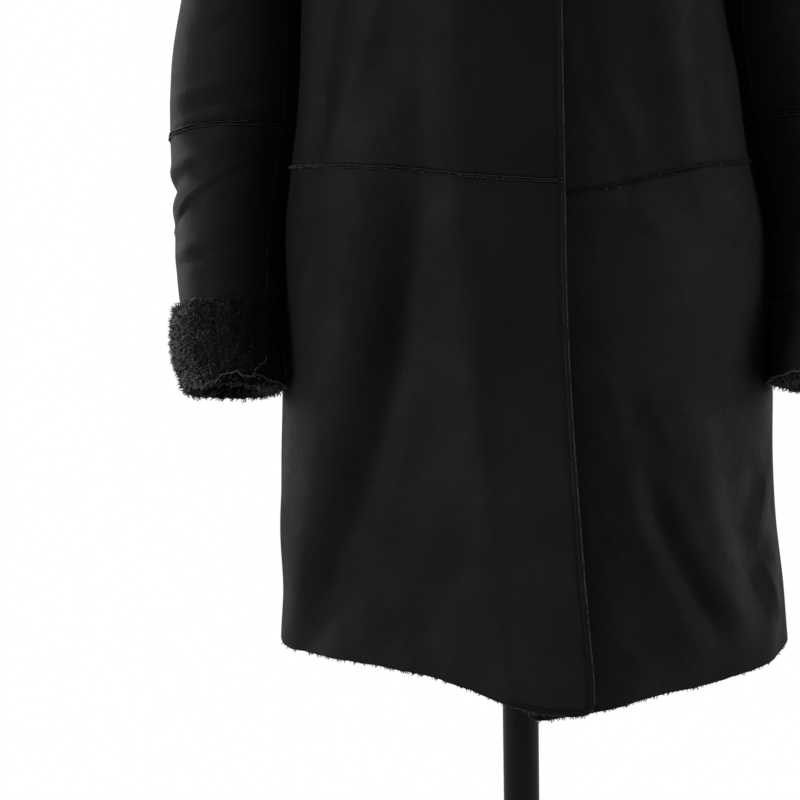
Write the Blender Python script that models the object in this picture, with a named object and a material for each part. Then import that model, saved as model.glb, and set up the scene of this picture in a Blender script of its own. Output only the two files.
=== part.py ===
"""Thigh-length shearling coat hanging closed on a limbless dress form.

Metres, +Z up, the coat's front faces -Y and the wearer's right is -X.  Every cloth piece is a
wall of leather and wool set inward from one smooth garment surface, given by a level (roughly a
height) and an angle round the body: 0 at the front, positive toward the wearer's left, 180 at
the back.  Pieces meet with a seam gap; the right front laps over the left front.
"""

import bmesh
import bpy
import numpy as np

COLLECTION = "shearling_coat"

# ---- driving sizes ---------------------------------------------------------------------------
WALL = 0.0070            # leather and clipped wool together
SEAM_GAP = 0.0003        # clear space between neighbouring pieces
EDGE_ROUND = 0.0014      # softening of the cut edges
LAP_LIFT = 0.0086        # right front held out over the left front
LAP_RAMP = 0.060         # width over which the right front climbs
LAP_SWING = 0.0175       # how much further its free edge stands out at the hem
SWING_WIDTH = 0.130      # width over which it swings out
SWING_TOP = 0.93         # level where the swing starts
SWING_DROP = 0.36        # height over which it grows
HEM_CORNER = 0.012       # radius of the lower front corners
NECK_LEVEL = 1.430
CHEST_LEVEL = 1.150
TORSO_BOTTOM = 0.800
UNDERARM_LEVEL = 1.207
SHOULDER_TIP_LEVEL = 1.357
ARMHOLE_FRONT = 33.0     # degrees the armhole bites into the front
ARMHOLE_BACK = 29.0      # and into the back
DEGREE_WIDTH = 0.0035    # metres of cloth for each degree round the body, for folds
POLE_RADIUS = 0.0189
BASE_RADIUS = 0.180
BASE_THICKNESS = 0.008

# level, wearer's right half width, left half width, front depth, back depth,
# front squareness, back squareness
BODY = np.array([
    (0.470, 0.2520, 0.2810, 0.2060, 0.1900, -0.18, -0.02),
    (0.514, 0.2500, 0.2765, 0.2020, 0.1860, -0.17, -0.02),
    (0.563, 0.2460, 0.2720, 0.1960, 0.1800, -0.14, -0.01),
    (0.636, 0.2450, 0.2630, 0.1860, 0.1730, -0.10, 0.00),
    (0.700, 0.2435, 0.2590, 0.1780, 0.1660, -0.07, 0.01),
    (0.770, 0.2400, 0.2580, 0.1690, 0.1580, -0.04, 0.02),
    (0.875, 0.2370, 0.2545, 0.1560, 0.1440, 0.00, 0.03),
    (0.936, 0.2310, 0.2465, 0.1460, 0.1300, 0.03, 0.04),
    (1.000, 0.2205, 0.2285, 0.1370, 0.1160, 0.06, 0.06),
    (1.085, 0.2095, 0.2160, 0.1340, 0.1130, 0.08, 0.08),
    (1.160, 0.2070, 0.2030, 0.1370, 0.1180, 0.09, 0.09),
    (1.207, 0.2050, 0.2015, 0.1390, 0.1200, 0.09, 0.10),
    (1.260, 0.2020, 0.2000, 0.1380, 0.1200, 0.08, 0.10),
    (1.310, 0.1980, 0.1970, 0.1300, 0.1150, 0.06, 0.09),
    (1.340, 0.1925, 0.1920, 0.1200, 0.1060, 0.04, 0.07),
    (1.357, 0.1860, 0.1860, 0.1125, 0.0990, 0.02, 0.05),
    (1.375, 0.1700, 0.1700, 0.1035, 0.0895, 0.00, 0.03),
    (1.402, 0.1250, 0.1250, 0.0900, 0.0750, 0.00, 0.00),
    (1.430, 0.0800, 0.0800, 0.0770, 0.0620, 0.00, 0.00),
])

# level, and how far the ring then stands above that level at the sides, front and back
RISE = np.array([
    (0.470, 0.000, 0.000, 0.000),
    (1.120, 0.000, 0.000, 0.000),
    (1.165, 0.000, 0.000, 0.000),
    (1.207, 0.001, -0.001, 0.001),
    (1.260, 0.004, -0.004, 0.002),
    (1.310, 0.011, -0.012, 0.005),
    (1.340, 0.017, -0.021, 0.008),
    (1.357, 0.017, -0.027, 0.009),
    (1.375, 0.010, -0.034, 0.009),
    (1.402, 0.000, -0.046, 0.006),
    (1.430, -0.010, -0.060, 0.002),
])

# level, x of the right front's free edge, x of the left front's hidden free edge
FRONT_EDGES = np.array([
    (0.470, 0.0600, 0.0080),
    (0.530, 0.0610, 0.0060),
    (0.570, 0.0585, 0.0030),
    (0.620, 0.0555, -0.0010),
    (0.690, 0.0525, -0.0080),
    (0.753, 0.0500, -0.0140),
    (0.886, 0.0465, -0.0260),
    (0.990, 0.0460, -0.0310),
    (1.070, 0.0450, -0.0330),
    (1.162, 0.0440, -0.0340),
    (1.430, 0.0430, -0.0340),
])

# angle, level of the waist seam on the right front, the left front and the back
WAIST = np.array([
    (-180.0, 0.996, 0.996, 0.996),
    (-90.0, 0.998, 0.998, 0.998),
    (-70.0, 1.005, 0.990, 0.998),
    (-50.0, 1.009, 0.985, 0.998),
    (-26.0, 1.008, 0.984, 0.998),
    (-12.0, 1.003, 0.984, 0.998),
    (0.0, 0.999, 0.984, 0.998),
    (12.0, 0.996, 0.985, 0.998),
    (20.0, 0.996, 0.988, 0.998),
    (36.0, 0.996, 0.998, 0.998),
    (50.0, 0.996, 1.003, 0.998),
    (70.0, 0.996, 1.001, 0.998),
    (90.0, 0.998, 0.998, 0.998),
    (180.0, 0.996, 0.996, 0.996),
])

# angle, level of the hem of the right front, the left front and the back
HEM = np.array([
    (-180.0, 0.511, 0.511, 0.511),
    (-90.0, 0.509, 0.509, 0.509),
    (-70.0, 0.512, 0.510, 0.507),
    (-50.0, 0.520, 0.508, 0.509),
    (-35.0, 0.523, 0.504, 0.509),
    (-20.0, 0.521, 0.498, 0.509),
    (-10.0, 0.515, 0.493, 0.509),
    (-3.0, 0.508, 0.490, 0.509),
    (4.0, 0.501, 0.489, 0.509),
    (13.0, 0.498, 0.491, 0.509),
    (20.0, 0.498, 0.493, 0.509),
    (32.0, 0.498, 0.498, 0.509),
    (45.0, 0.500, 0.498, 0.509),
    (60.0, 0.502, 0.499, 0.508),
    (75.0, 0.504, 0.503, 0.507),
    (90.0, 0.506, 0.506, 0.506),
    (180.0, 0.511, 0.511, 0.511),
])

# start angle, start level, end angle, end level, bow toward the wearer's left, half width,
# height (below zero is a trough)
FOLDS = np.array([
    (-22.5, 0.980, -67.0, 0.500, 0.026, 0.020, -0.0110),
    (-13.0, 0.940, -43.0, 0.530, 0.038, 0.027, 0.0044),
    (-38.0, 1.050, -72.0, 0.510, 0.018, 0.033, 0.0112),
    (-17.5, 0.915, -38.0, 0.500, 0.012, 0.045, -0.0115),
    (-58.0, 0.925, -80.0, 0.585, 0.016, 0.028, 0.0070),
    (-25.0, 0.640, -18.5, 0.515, -0.005, 0.013, 0.0019),
    (-26.0, 0.645, -25.0, 0.502, 0.003, 0.017, -0.0040),
    (-6.5, 0.640, -8.5, 0.515, 0.003, 0.016, -0.0017),
    (-36.5, 1.160, -55.0, 1.006, 0.002, 0.015, 0.0030),
    (-49.0, 1.205, -66.0, 1.000, -0.012, 0.034, -0.0110),
    (-26.5, 1.190, -36.0, 1.050, 0.001, 0.020, -0.0022),
    (20.0, 1.088, 28.5, 1.009, 0.008, 0.011, 0.0028),
    (35.0, 1.190, 40.0, 1.050, 0.002, 0.021, 0.0036),
    (50.0, 1.225, 47.0, 0.980, -0.012, 0.030, 0.0085),
    (16.0, 0.900, 22.0, 0.480, -0.003, 0.030, 0.0030),
    (28.0, 0.722, 49.5, 0.540, -0.007, 0.0105, -0.0084),
    (33.7, 0.720, 54.0, 0.556, -0.008, 0.0115, 0.0030),
    (25.0, 0.744, 44.0, 0.510, -0.001, 0.020, 0.0090),
    (37.5, 0.812, 60.0, 0.500, -0.012, 0.030, 0.0120),
    (80.0, 0.731, 60.0, 0.606, 0.010, 0.010, 0.0022),
    (67.0, 0.706, 57.0, 0.629, 0.007, 0.017, -0.0026),
    (73.5, 0.637, 65.5, 0.490, 0.000, 0.020, 0.0060),
    (45.5, 0.959, 66.0, 0.712, 0.010, 0.032, -0.0022),
    (29.5, 0.685, 39.0, 0.550, -0.002, 0.014, -0.0020),
    (-3.5, 0.628, -2.5, 0.500, 0.002, 0.024, 0.0036),
    (104.0, 0.930, 112.0, 0.520, 0.006, 0.024, -0.0066),
    (121.0, 0.900, 134.0, 0.515, 0.000, 0.028, 0.0056),
    (141.0, 0.940, 150.0, 0.540, -0.008, 0.024, -0.0062),
    (163.0, 0.880, 168.0, 0.510, 0.004, 0.028, 0.0050),
    (184.0, 0.930, 187.0, 0.560, -0.004, 0.022, -0.0070),
    (205.0, 0.900, 203.0, 0.515, 0.000, 0.027, 0.0052),
    (224.0, 0.950, 217.0, 0.530, 0.006, 0.023, -0.0060),
    (243.0, 0.880, 236.0, 0.515, 0.000, 0.027, 0.0058),
    (258.0, 0.920, 252.0, 0.550, -0.006, 0.022, -0.0052),
    (115.0, 1.170, 132.0, 1.020, 0.006, 0.018, -0.0040),
    (150.0, 1.060, 205.0, 1.045, 0.006, 0.016, -0.0030),
    (243.0, 1.180, 226.0, 1.025, -0.006, 0.018, -0.0042),
    (168.0, 1.260, 150.0, 1.120, 0.006, 0.022, -0.0028),
    (192.0, 1.250, 212.0, 1.130, -0.006, 0.022, -0.0030),
])

# stations down the arm: inner x and height, outer x and height, centre y, half depth, forward tilt
ARM = np.array([
    (0, 0.2053, 1.207, 0.1860, 1.373, -0.008, 0.0710, 0),
    (1, 0.2068, 1.200, 0.2220, 1.366, -0.003, 0.0700, 0),
    (2, 0.2082, 1.192, 0.2560, 1.344, 0.002, 0.0690, 0),
    (3, 0.2095, 1.183, 0.2860, 1.301, 0.008, 0.0675, 0),
    (4, 0.2105, 1.173, 0.3130, 1.240, 0.016, 0.0660, 0),
    (5, 0.2105, 1.160, 0.3295, 1.170, 0.024, 0.0650, 2),
    (6, 0.2095, 1.115, 0.3420, 1.118, 0.032, 0.0640, 6),
    (7, 0.2120, 1.072, 0.3485, 1.069, 0.038, 0.0625, 13),
    (8, 0.2165, 1.026, 0.3510, 1.024, 0.042, 0.0610, 20),
    (9, 0.2245, 0.985, 0.3485, 0.984, 0.0265, 0.0600, 22),
    (10, 0.2312, 0.945, 0.3445, 0.944, 0.0105, 0.0580, 22),
    (11, 0.2356, 0.910, 0.3435, 0.909, -0.0050, 0.0565, 22),
    (12, 0.2385, 0.872, 0.3390, 0.871, -0.0210, 0.0540, 21),
    (13, 0.2478, 0.842, 0.3335, 0.841, -0.0340, 0.0470, 20),
    (14, 0.2475, 0.815, 0.3310, 0.814, -0.0450, 0.0460, 21),
    (15, 0.2460, 0.797, 0.3255, 0.796, -0.0525, 0.0450, 22),
    (16, 0.2445, 0.783, 0.3230, 0.782, -0.0585, 0.0445, 22),
])
SEAM_STATION = 8.0
SLEEVE_END = 14.9
LEFT_ARM_SHIFT = 0.0205  # the left forearm hangs this much further out, clear of the hip

# station, turn round the arm (0 front, 90 outside, 180 back, 270 inside), length in stations,
# half width in stations, reach in degrees, height
ARM_FOLDS = np.array([
    (7.75, 10.0, 0.14, 42.0, 0.0030),
    (7.45, -10.0, 0.14, 34.0, -0.0028),
    (7.05, 20.0, 0.20, 36.0, 0.0026),
    (8.85, 48.0, 0.20, 40.0, 0.0036),
    (9.30, 82.0, 0.22, 40.0, -0.0044),
    (9.75, 60.0, 0.26, 40.0, 0.0026),
    (10.95, 30.0, 0.20, 34.0, 0.0022),
    (11.25, 20.0, 0.18, 40.0, -0.0024),
    (6.50, 185.0, 0.24, 50.0, 0.0034),
    (7.10, 172.0, 0.20, 46.0, -0.0036),
    (8.60, 190.0, 0.24, 50.0, -0.0040),
    (9.40, 175.0, 0.26, 46.0, 0.0030),
    (3.20, -20.0, 0.50, 34.0, -0.0040),
    (2.40, 195.0, 0.50, 34.0, -0.0040),
])

# station and distance out from the sleeve, once round the section of the turned-back cuff
CUFF = np.array([
    (12.40, 0.0018),
    (13.20, 0.0016),
    (14.20, 0.0014),
    (15.05, 0.0012),
    (15.10, -0.0072),
    (15.60, -0.0068),
    (16.00, -0.0010),
    (15.95, 0.0060),
    (15.30, 0.0112),
    (14.30, 0.0125),
    (13.20, 0.0125),
    (12.50, 0.0085),
    (12.20, 0.0045),
])
CUFF_CLUMPS = 0.0012     # unevenness of the curled wool

# rise above the neckline, reach out from it, level and distance off the garment, share of the latter
COLLAR = np.array([
    (0.000, 0.000, 1.430, 0.010, 0.0),
    (0.020, 0.001, 1.430, 0.010, 0.0),
    (0.035, 0.004, 1.430, 0.010, 0.0),
    (0.041, 0.010, 1.430, 0.010, 0.0),
    (0.037, 0.017, 1.430, 0.018, 0.1),
    (0.020, 0.024, 1.420, 0.016, 0.7),
    (0.010, 0.030, 1.408, 0.012, 1.0),
    (0.000, 0.036, 1.394, 0.010, 1.0),
    (0.000, 0.036, 1.380, 0.010, 1.0),
    (0.000, 0.036, 1.364, 0.011, 1.0),
])
COLLAR_START = 26.0
COLLAR_SIDE_SHARE = 0.55  # levels are wider apart on the shoulders than at front and back

# level, how far the dress form stays inside the garment surface, and its pull toward the axis
TORSO = np.array([
    (0.800, 0.096, 0.0),
    (0.815, 0.086, 0.0),
    (0.870, 0.078, 0.0),
    (0.940, 0.078, 0.0),
    (1.020, 0.082, 0.0),
    (1.100, 0.058, 0.0),
    (1.170, 0.034, 0.0),
    (1.230, 0.023, 0.0),
    (1.290, 0.016, 0.0),
    (1.330, 0.0115, 0.0),
    (1.357, 0.0090, 0.0),
    (1.380, 0.0086, 0.0),
    (1.405, 0.0086, 0.001),
    (1.430, 0.0090, 0.006),
])
# height, half width, front, back of the form's neck
NECK = np.array([
    (1.446, 0.063, 0.060, 0.049),
    (1.470, 0.060, 0.057, 0.049),
    (1.500, 0.058, 0.055, 0.050),
])

# rows of the upper panels, bottom to top; those below the chest follow the waist seam
UPPER_ROWS = np.array([1.000, 1.045, 1.095, 1.145, 1.180, 1.207, 1.217, 1.2445, 1.282, 1.3195,
                       1.347, 1.357, 1.376, 1.402, 1.430])


def smooth_rows(table, level, column):
    """Cubic curve through one column of a table, with slopes taken from the neighbouring rows."""
    x = table[:, 0]
    y = table[:, column]
    slope = np.gradient(y, x)
    level = np.clip(level, x[0], x[-1])
    i = np.clip(np.searchsorted(x, level, side="right") - 1, 0, len(x) - 2)
    h = x[i + 1] - x[i]
    t = (level - x[i]) / h
    a = (1 + 2 * t) * (1 - t) ** 2
    b = t * (1 - t) ** 2
    c = t * t * (3 - 2 * t)
    d = t * t * (t - 1)
    return a * y[i] + b * h * slope[i] + c * y[i + 1] + d * h * slope[i + 1]


def ease(t):
    """Smooth step from 0 to 1."""
    t = np.clip(t, 0.0, 1.0)
    return t * t * (3 - 2 * t)


def body_ring(angle, level, even=False):
    """Point of the plain garment surface; even uses one half width for both sides."""
    s = np.sin(np.radians(angle))
    c = np.cos(np.radians(angle))
    right = smooth_rows(BODY, level, 1)
    left = smooth_rows(BODY, level, 2)
    half = 0.5 * (right + left) if even else np.where(s < 0, right, left)
    front = c > 0
    depth = np.where(front, smooth_rows(BODY, level, 3), smooth_rows(BODY, level, 4))
    square = np.where(front, smooth_rows(BODY, level, 5), smooth_rows(BODY, level, 6))
    rise = np.where(front, smooth_rows(RISE, level, 2), smooth_rows(RISE, level, 3))
    x = half * s * (1 + square * c * c)
    y = -depth * c * (1 + square * s * s)
    z = level + smooth_rows(RISE, level, 1) * s * s + rise * c * c
    return np.stack([x, y, z], -1)


def unit_normal(surface, angle, level):
    """Outward direction of a surface of angle and level, from small differences."""
    low = np.clip(level - 0.0015, BODY[0, 0], NECK_LEVEL)
    high = np.clip(level + 0.0015, BODY[0, 0], NECK_LEVEL)
    across = surface(angle + 0.4, level) - surface(angle - 0.4, level)
    normal = np.cross(across, surface(angle, high) - surface(angle, low))
    return normal / np.linalg.norm(normal, axis=-1, keepdims=True)


def front_angle(x, level):
    """Angle at which the plain surface has this x, near the front."""
    half = np.where(x < 0, smooth_rows(BODY, level, 1), smooth_rows(BODY, level, 2))
    square = smooth_rows(BODY, level, 5)
    s = x / half
    for _ in range(12):
        s = x / (half * (1 + square * (1 - s * s)))
    return np.degrees(np.arcsin(s))


def around(angle):
    """The same angle between -180 and 180."""
    return (angle + 180.0) % 360.0 - 180.0


def fold_height(angle, level):
    """Sum of the soft folds, each a bell across a bowed line that fades past its ends."""
    total = np.zeros(np.broadcast(angle, level).shape)
    for turn in (0.0, 360.0, -360.0):
        for a0, z0, a1, z1, bow, width, height in FOLDS:
            run = np.array([(a1 - a0) * DEGREE_WIDTH, z1 - z0])
            length = np.hypot(*run)
            dx = (angle + turn - a0) * DEGREE_WIDTH
            dz = level - z0
            along = (dx * run[0] + dz * run[1]) / length ** 2
            across = (dz * run[0] - dx * run[1]) / length - bow * 4 * along * (1 - along)
            fade = ease((along + 0.12) / 0.35) * ease((1.12 - along) / 0.35)
            total = total + height * fade * np.exp(-((across / width) ** 2))
    return total


def garment(angle, level):
    """The folded garment surface."""
    out = fold_height(angle, level)
    return body_ring(angle, level) + out[..., None] * unit_normal(body_ring, angle, level)


def lapped(angle, level):
    """The garment surface with the right front climbing over the left."""
    base = body_ring(angle, level)
    hidden = smooth_rows(FRONT_EDGES, level, 2)
    edge = smooth_rows(FRONT_EDGES, level, 1)
    climb = ease((base[..., 0] - hidden + LAP_RAMP) / (LAP_RAMP - 0.014))
    swing = np.clip((base[..., 0] - edge + SWING_WIDTH) / SWING_WIDTH, 0, 1) ** 1.5
    swing = swing * ease((SWING_TOP - level) / SWING_DROP)
    lift = np.where(np.cos(np.radians(angle)) > 0, LAP_LIFT * climb + LAP_SWING * swing, 0.0)
    out = fold_height(angle, level) + lift
    return base + out[..., None] * unit_normal(body_ring, angle, level)


def waist_level(angle, column):
    """Waist seam: column 1 right front, 2 left front, 3 back."""
    return smooth_rows(WAIST, around(angle), column)


def armhole_bite(level, reach):
    """Degrees cut away from a panel's side edge by the armhole at this level."""
    middle = 0.5 * (UNDERARM_LEVEL + SHOULDER_TIP_LEVEL)
    half = 0.5 * (SHOULDER_TIP_LEVEL - UNDERARM_LEVEL)
    return reach * np.sqrt(np.clip(1 - ((level - middle) / half) ** 2, 0, None))


def seam_degrees(level):
    """Half a seam gap at the side, in degrees."""
    return np.degrees(0.6 * SEAM_GAP / np.minimum(smooth_rows(BODY, level, 4), 0.18))


def upper_level(angle, v, column):
    """Level of the row v of an upper panel."""
    row = np.interp(v * (len(UPPER_ROWS) - 1), np.arange(len(UPPER_ROWS)), UPPER_ROWS)
    waist = waist_level(angle, column) + 0.5 * SEAM_GAP
    low = waist + (row - UPPER_ROWS[0]) * (CHEST_LEVEL - waist) / (CHEST_LEVEL - UPPER_ROWS[0])
    return np.where(row < CHEST_LEVEL, low, row)


def front_span(u, level, side, edge_column, bite, columns):
    """Angle across a front from its side seam (u=0) to its free edge (u=1).

    Columns are even up to the rounded corner, which has two of its own.
    """
    seam = side * (90.0 - seam_degrees(level) - bite)
    x = smooth_rows(FRONT_EDGES, level, edge_column)
    corner = front_angle(x + side * HEM_CORNER, level)
    turn = front_angle(x + side * 0.4 * HEM_CORNER, level)
    edge = front_angle(x, level)
    column = u * columns
    even = np.clip(column / (columns - 2), 0, 1)
    near = np.clip(column - (columns - 2), 0, 1)
    last = np.clip(column - (columns - 1), 0, 1)
    return seam + (corner - seam) * even + (turn - corner) * near + (edge - turn) * last


def hem_level(angle, column, edge_distance):
    """Hem with a rounded corner by the free edge."""
    hem = smooth_rows(HEM, around(angle), column)
    reach = np.clip(HEM_CORNER - edge_distance, 0, HEM_CORNER)
    return hem + HEM_CORNER - np.sqrt(HEM_CORNER ** 2 - reach ** 2)


def front_upper(u, v, side, edge_column, surface, columns):
    angle = side * 45.0 * np.ones_like(u)
    for _ in range(4):
        level = upper_level(angle, v, edge_column)
        bite = armhole_bite(level, ARMHOLE_FRONT)
        angle = front_span(u, level, side, edge_column, bite, columns)
    return surface(angle, level), unit_normal(surface, angle, level)


def front_skirt(u, v, side, edge_column, surface, columns):
    level = 0.75 * np.ones_like(u)
    for _ in range(5):
        angle = front_span(u, level, side, edge_column, 0.0, columns)
        edge = smooth_rows(FRONT_EDGES, level, edge_column)
        edge_distance = np.abs(edge - body_ring(angle, level)[..., 0])
        hem = hem_level(angle, edge_column, edge_distance)
        top = waist_level(angle, edge_column) - 0.5 * SEAM_GAP
        level = hem + (top - hem) * v ** 1.15
    return surface(angle, level), unit_normal(surface, angle, level)


def back_upper(u, v):
    angle = 90.0 + 180.0 * u
    for _ in range(4):
        level = upper_level(angle, v, 3)
        margin = seam_degrees(level) + armhole_bite(level, ARMHOLE_BACK)
        angle = 90.0 + margin + (180.0 - 2 * margin) * u
    return garment(angle, level), unit_normal(garment, angle, level)


def back_skirt(u, v):
    margin = seam_degrees(0.75)
    angle = 90.0 + margin + (180.0 - 2 * margin) * u
    hem = smooth_rows(HEM, around(angle), 3)
    level = hem + (waist_level(angle, 3) - 0.5 * SEAM_GAP - hem) * v ** 1.1
    return garment(angle, level), unit_normal(garment, angle, level)


def arm_ring(turn, station, side, out=0.0):
    """Point of a sleeve: turn 0 is the front, 90 the outside, 180 the back, 270 the body side."""
    s = np.sin(np.radians(turn))
    c = np.cos(np.radians(turn))
    inner = np.stack([smooth_rows(ARM, station, 1), smooth_rows(ARM, station, 2)], -1)
    outer = np.stack([smooth_rows(ARM, station, 3), smooth_rows(ARM, station, 4)], -1)
    half = 0.5 * np.linalg.norm(outer - inner, axis=-1)
    lateral = (outer - inner) / (2 * half[..., None])
    middle = 0.5 * (outer + inner)
    tilt = np.radians(smooth_rows(ARM, station, 7))
    x = middle[..., 0] + (half + out) * s * lateral[..., 0]
    z = middle[..., 1] + (half + out) * s * lateral[..., 1]
    depth = smooth_rows(ARM, station, 6) + out
    y = smooth_rows(ARM, station, 5) - depth * c * np.cos(tilt)
    z = z + depth * c * np.sin(tilt)
    if side > 0:
        x = x + LEFT_ARM_SHIFT * ease((1.16 - middle[..., 1]) / 0.34)
    return np.stack([side * x, y, z], -1)


def armhole_ring(turn, side):
    """The armhole edge on the garment, just clear of the panels and following their rows."""
    start = np.floor(turn / 30.0) * 30.0
    part = (turn - start) / 30.0
    s = np.sin(np.radians(start)) * (1 - part) + np.sin(np.radians(start + 30.0)) * part
    c = np.cos(np.radians(start)) * (1 - part) + np.cos(np.radians(start + 30.0)) * part
    middle = 0.5 * (UNDERARM_LEVEL + SHOULDER_TIP_LEVEL)
    level = middle + 0.5 * (SHOULDER_TIP_LEVEL - UNDERARM_LEVEL) * s * 0.98
    angle = side * (90.0 - 0.98 * np.where(c > 0, ARMHOLE_FRONT * c, ARMHOLE_BACK * c))
    return garment(angle, level) + 0.0008 * unit_normal(garment, angle, level)


def sleeve(turn, station, side):
    """Sleeve surface with its creases, growing out of the armhole."""
    start = ((1 - np.clip(station, 0, 1)) ** 2)[..., None]
    root = armhole_ring(turn, side) - arm_ring(turn, 0.0 * station, side)
    creases = np.zeros(np.broadcast(turn, station).shape)
    for at, facing, width, reach, height in ARM_FOLDS:
        away = around(turn - facing) / reach
        slant = station - at - 0.10 * away
        creases = creases + height * np.exp(-((slant / width) ** 2) - away ** 2)
    creases = creases * ease(station) * ease((12.0 - station) / 0.6)
    return arm_ring(turn, station, side, creases) + start * root


def sleeve_piece(u, v, side, first, last):
    turn = 360.0 * u
    station = first + (last - first) * v
    around_it = sleeve(turn + 6.0, station, side) - sleeve(turn - 6.0, station, side)
    low = np.clip(station - 0.05, 0, 16)
    along = sleeve(turn, np.clip(station + 0.05, 0, 16), side) - sleeve(turn, low, side)
    normal = side * np.cross(along, around_it)
    normal = normal / np.linalg.norm(normal, axis=-1, keepdims=True)
    return sleeve(turn, station, side), normal


def cuff_ring(u, v, side):
    """Cuff: u round the arm, v round the section."""
    turn = 360.0 * u
    where = (v % 1.0) * len(CUFF)
    rows = np.vstack([CUFF, CUFF[:1]])
    index = np.arange(len(rows))
    station = np.interp(where, index, rows[:, 0])
    out = np.interp(where, index, rows[:, 1])
    curl = np.sin(np.radians(5 * turn) + 2.1 * station)
    curl = curl * np.sin(np.radians(3 * turn) - 3.3 * station + side)
    clumps = CUFF_CLUMPS * curl * ease((out - 0.002) / 0.006)
    return arm_ring(turn, station, side, out + clumps)


def collar_sheet(u, v):
    """Collar: u round the neck from the wearer's left, v from the neckline over the fold."""
    angle = COLLAR_START + (360.0 - 2 * COLLAR_START) * u
    where = v * (len(COLLAR) - 1)
    index = np.arange(len(COLLAR))
    up, reach, level, off, share = (np.interp(where, index, COLLAR[:, k]) for k in range(5))
    neck = body_ring(angle, NECK_LEVEL * np.ones_like(level))
    s = np.sin(np.radians(angle))
    c = np.cos(np.radians(angle))
    level = NECK_LEVEL - (NECK_LEVEL - level) * (c * c + COLLAR_SIDE_SHARE * s * s)
    stand = neck + np.stack([reach * s, -reach * c, up + 0.0006], -1)
    fall = body_ring(angle, level) + off[..., None] * unit_normal(body_ring, angle, level)
    return stand * (1 - share[..., None]) + fall * share[..., None]


def collar_piece(u, v):
    across = collar_sheet(np.clip(u + 0.004, 0, 1), v) - collar_sheet(np.clip(u - 0.004, 0, 1), v)
    up = collar_sheet(u, np.clip(v + 0.03, 0, 1)) - collar_sheet(u, np.clip(v - 0.03, 0, 1))
    normal = np.cross(across, up)
    normal = normal / np.linalg.norm(normal, axis=-1, keepdims=True)
    return collar_sheet(u, v), normal


def new_bmesh():
    bm = bmesh.new()
    layers = [bm.verts.layers.float.new(name) for name in ("u", "v", "w")]
    return bm, layers


def unit_sheet(columns, rows, wrap_u=False, wrap_v=False):
    """Flat grid whose vertices remember u and v; it can be rolled shut one way or both."""
    bm, (u_of, v_of, _) = new_bmesh()
    bmesh.ops.create_grid(bm, x_segments=columns, y_segments=rows, size=0.5)
    for vert in bm.verts:
        u = vert.co.x + 0.5
        v = vert.co.y + 0.5
        vert[u_of] = u
        vert[v_of] = v
        if wrap_u:
            ring = 2.0 + (np.cos(2 * np.pi * v) if wrap_v else 0.0)
            height = np.sin(2 * np.pi * v) if wrap_v else 3 * v
            vert.co = (ring * np.cos(2 * np.pi * u), ring * np.sin(2 * np.pi * u), height)
        elif wrap_v:
            vert.co = (3 * u, np.cos(2 * np.pi * v), np.sin(2 * np.pi * v))
    if wrap_u or wrap_v:
        bmesh.ops.remove_doubles(bm, verts=bm.verts, dist=1e-5)
    return bm


def vertex_values(bm):
    layers = [bm.verts.layers.float[name] for name in ("u", "v", "w")]
    return [np.array([vert[layer] for vert in bm.verts]) for layer in layers]


def finish(bm, points, name, colour, roughness):
    """Set every vertex, face outward and keep the result as one named object."""
    for vert, point in zip(bm.verts, points):
        vert.co = point
    bmesh.ops.recalc_face_normals(bm, faces=bm.faces)
    if bm.calc_volume(signed=True) < 0:
        bmesh.ops.reverse_faces(bm, faces=bm.faces)
    mesh = bpy.data.meshes.new(name)
    bm.to_mesh(mesh)
    bm.free()
    material = bpy.data.materials.new(name + "_material")
    material.use_nodes = True
    shader = material.node_tree.nodes["Principled BSDF"]
    shader.inputs["Base Color"].default_value = (*colour, 1.0)
    shader.inputs["Roughness"].default_value = roughness
    mesh.materials.append(material)
    obj = bpy.data.objects.new(name, mesh)
    bpy.data.collections[COLLECTION].objects.link(obj)
    return obj


def wall_piece(name, columns, rows, surface, wrap=False, wall=WALL):
    """A sheet of cloth given its thickness inward, with softened cut edges."""
    bm = unit_sheet(columns, rows, wrap_u=wrap)
    w_of = bm.verts.layers.float["w"]
    grown = bmesh.ops.extrude_face_region(bm, geom=bm.faces[:])
    for item in grown["geom"]:
        if isinstance(item, bmesh.types.BMVert):
            item[w_of] = 1.0
    rim = [edge for edge in bm.edges if edge.verts[0][w_of] != edge.verts[1][w_of]]
    bmesh.ops.subdivide_edges(bm, edges=rim, cuts=1, use_grid_fill=True)
    u, v, w = vertex_values(bm)
    point, normal = surface(u, v)
    step_u = 0.0 if wrap else 0.006
    inner_u = u + step_u * ((u < 1e-6) * 1.0 - (u > 1 - 1e-6))
    inner_v = v + 0.006 * ((v < 1e-6) * 1.0 - (v > 1 - 1e-6))
    aim = surface(inner_u, inner_v)[0] - point
    size = np.linalg.norm(aim, axis=-1, keepdims=True)
    aim = np.where(size > 1e-9, aim / np.maximum(size, 1e-9), 0.0)
    soften = (EDGE_ROUND * (np.abs(w - 0.5) > 0.25))[:, None]
    points = point - wall * w[:, None] * normal + soften * aim
    return finish(bm, points, name, (0.021, 0.023, 0.022), 0.6)


def bar_piece(name, columns, loop, surface, wrap=False, colour=(0.02, 0.02, 0.02)):
    """A narrow bar laid along a surface; loop is the number of points round its section."""
    bm = unit_sheet(columns, loop, wrap_u=wrap, wrap_v=True)
    if not wrap:
        ends = [edge for edge in bm.edges if edge.is_boundary]
        bmesh.ops.holes_fill(bm, edges=ends, sides=loop)
    u, v, _ = vertex_values(bm)
    return finish(bm, surface(u, v), name, colour, 0.6)


def section(v, rows):
    """Closed section through rows of two numbers, v once round it."""
    closed = np.vstack([rows, rows[:1]])
    where = (v % 1.0) * len(rows)
    index = np.arange(len(closed))
    return np.interp(where, index, closed[:, 0]), np.interp(where, index, closed[:, 1])


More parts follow.
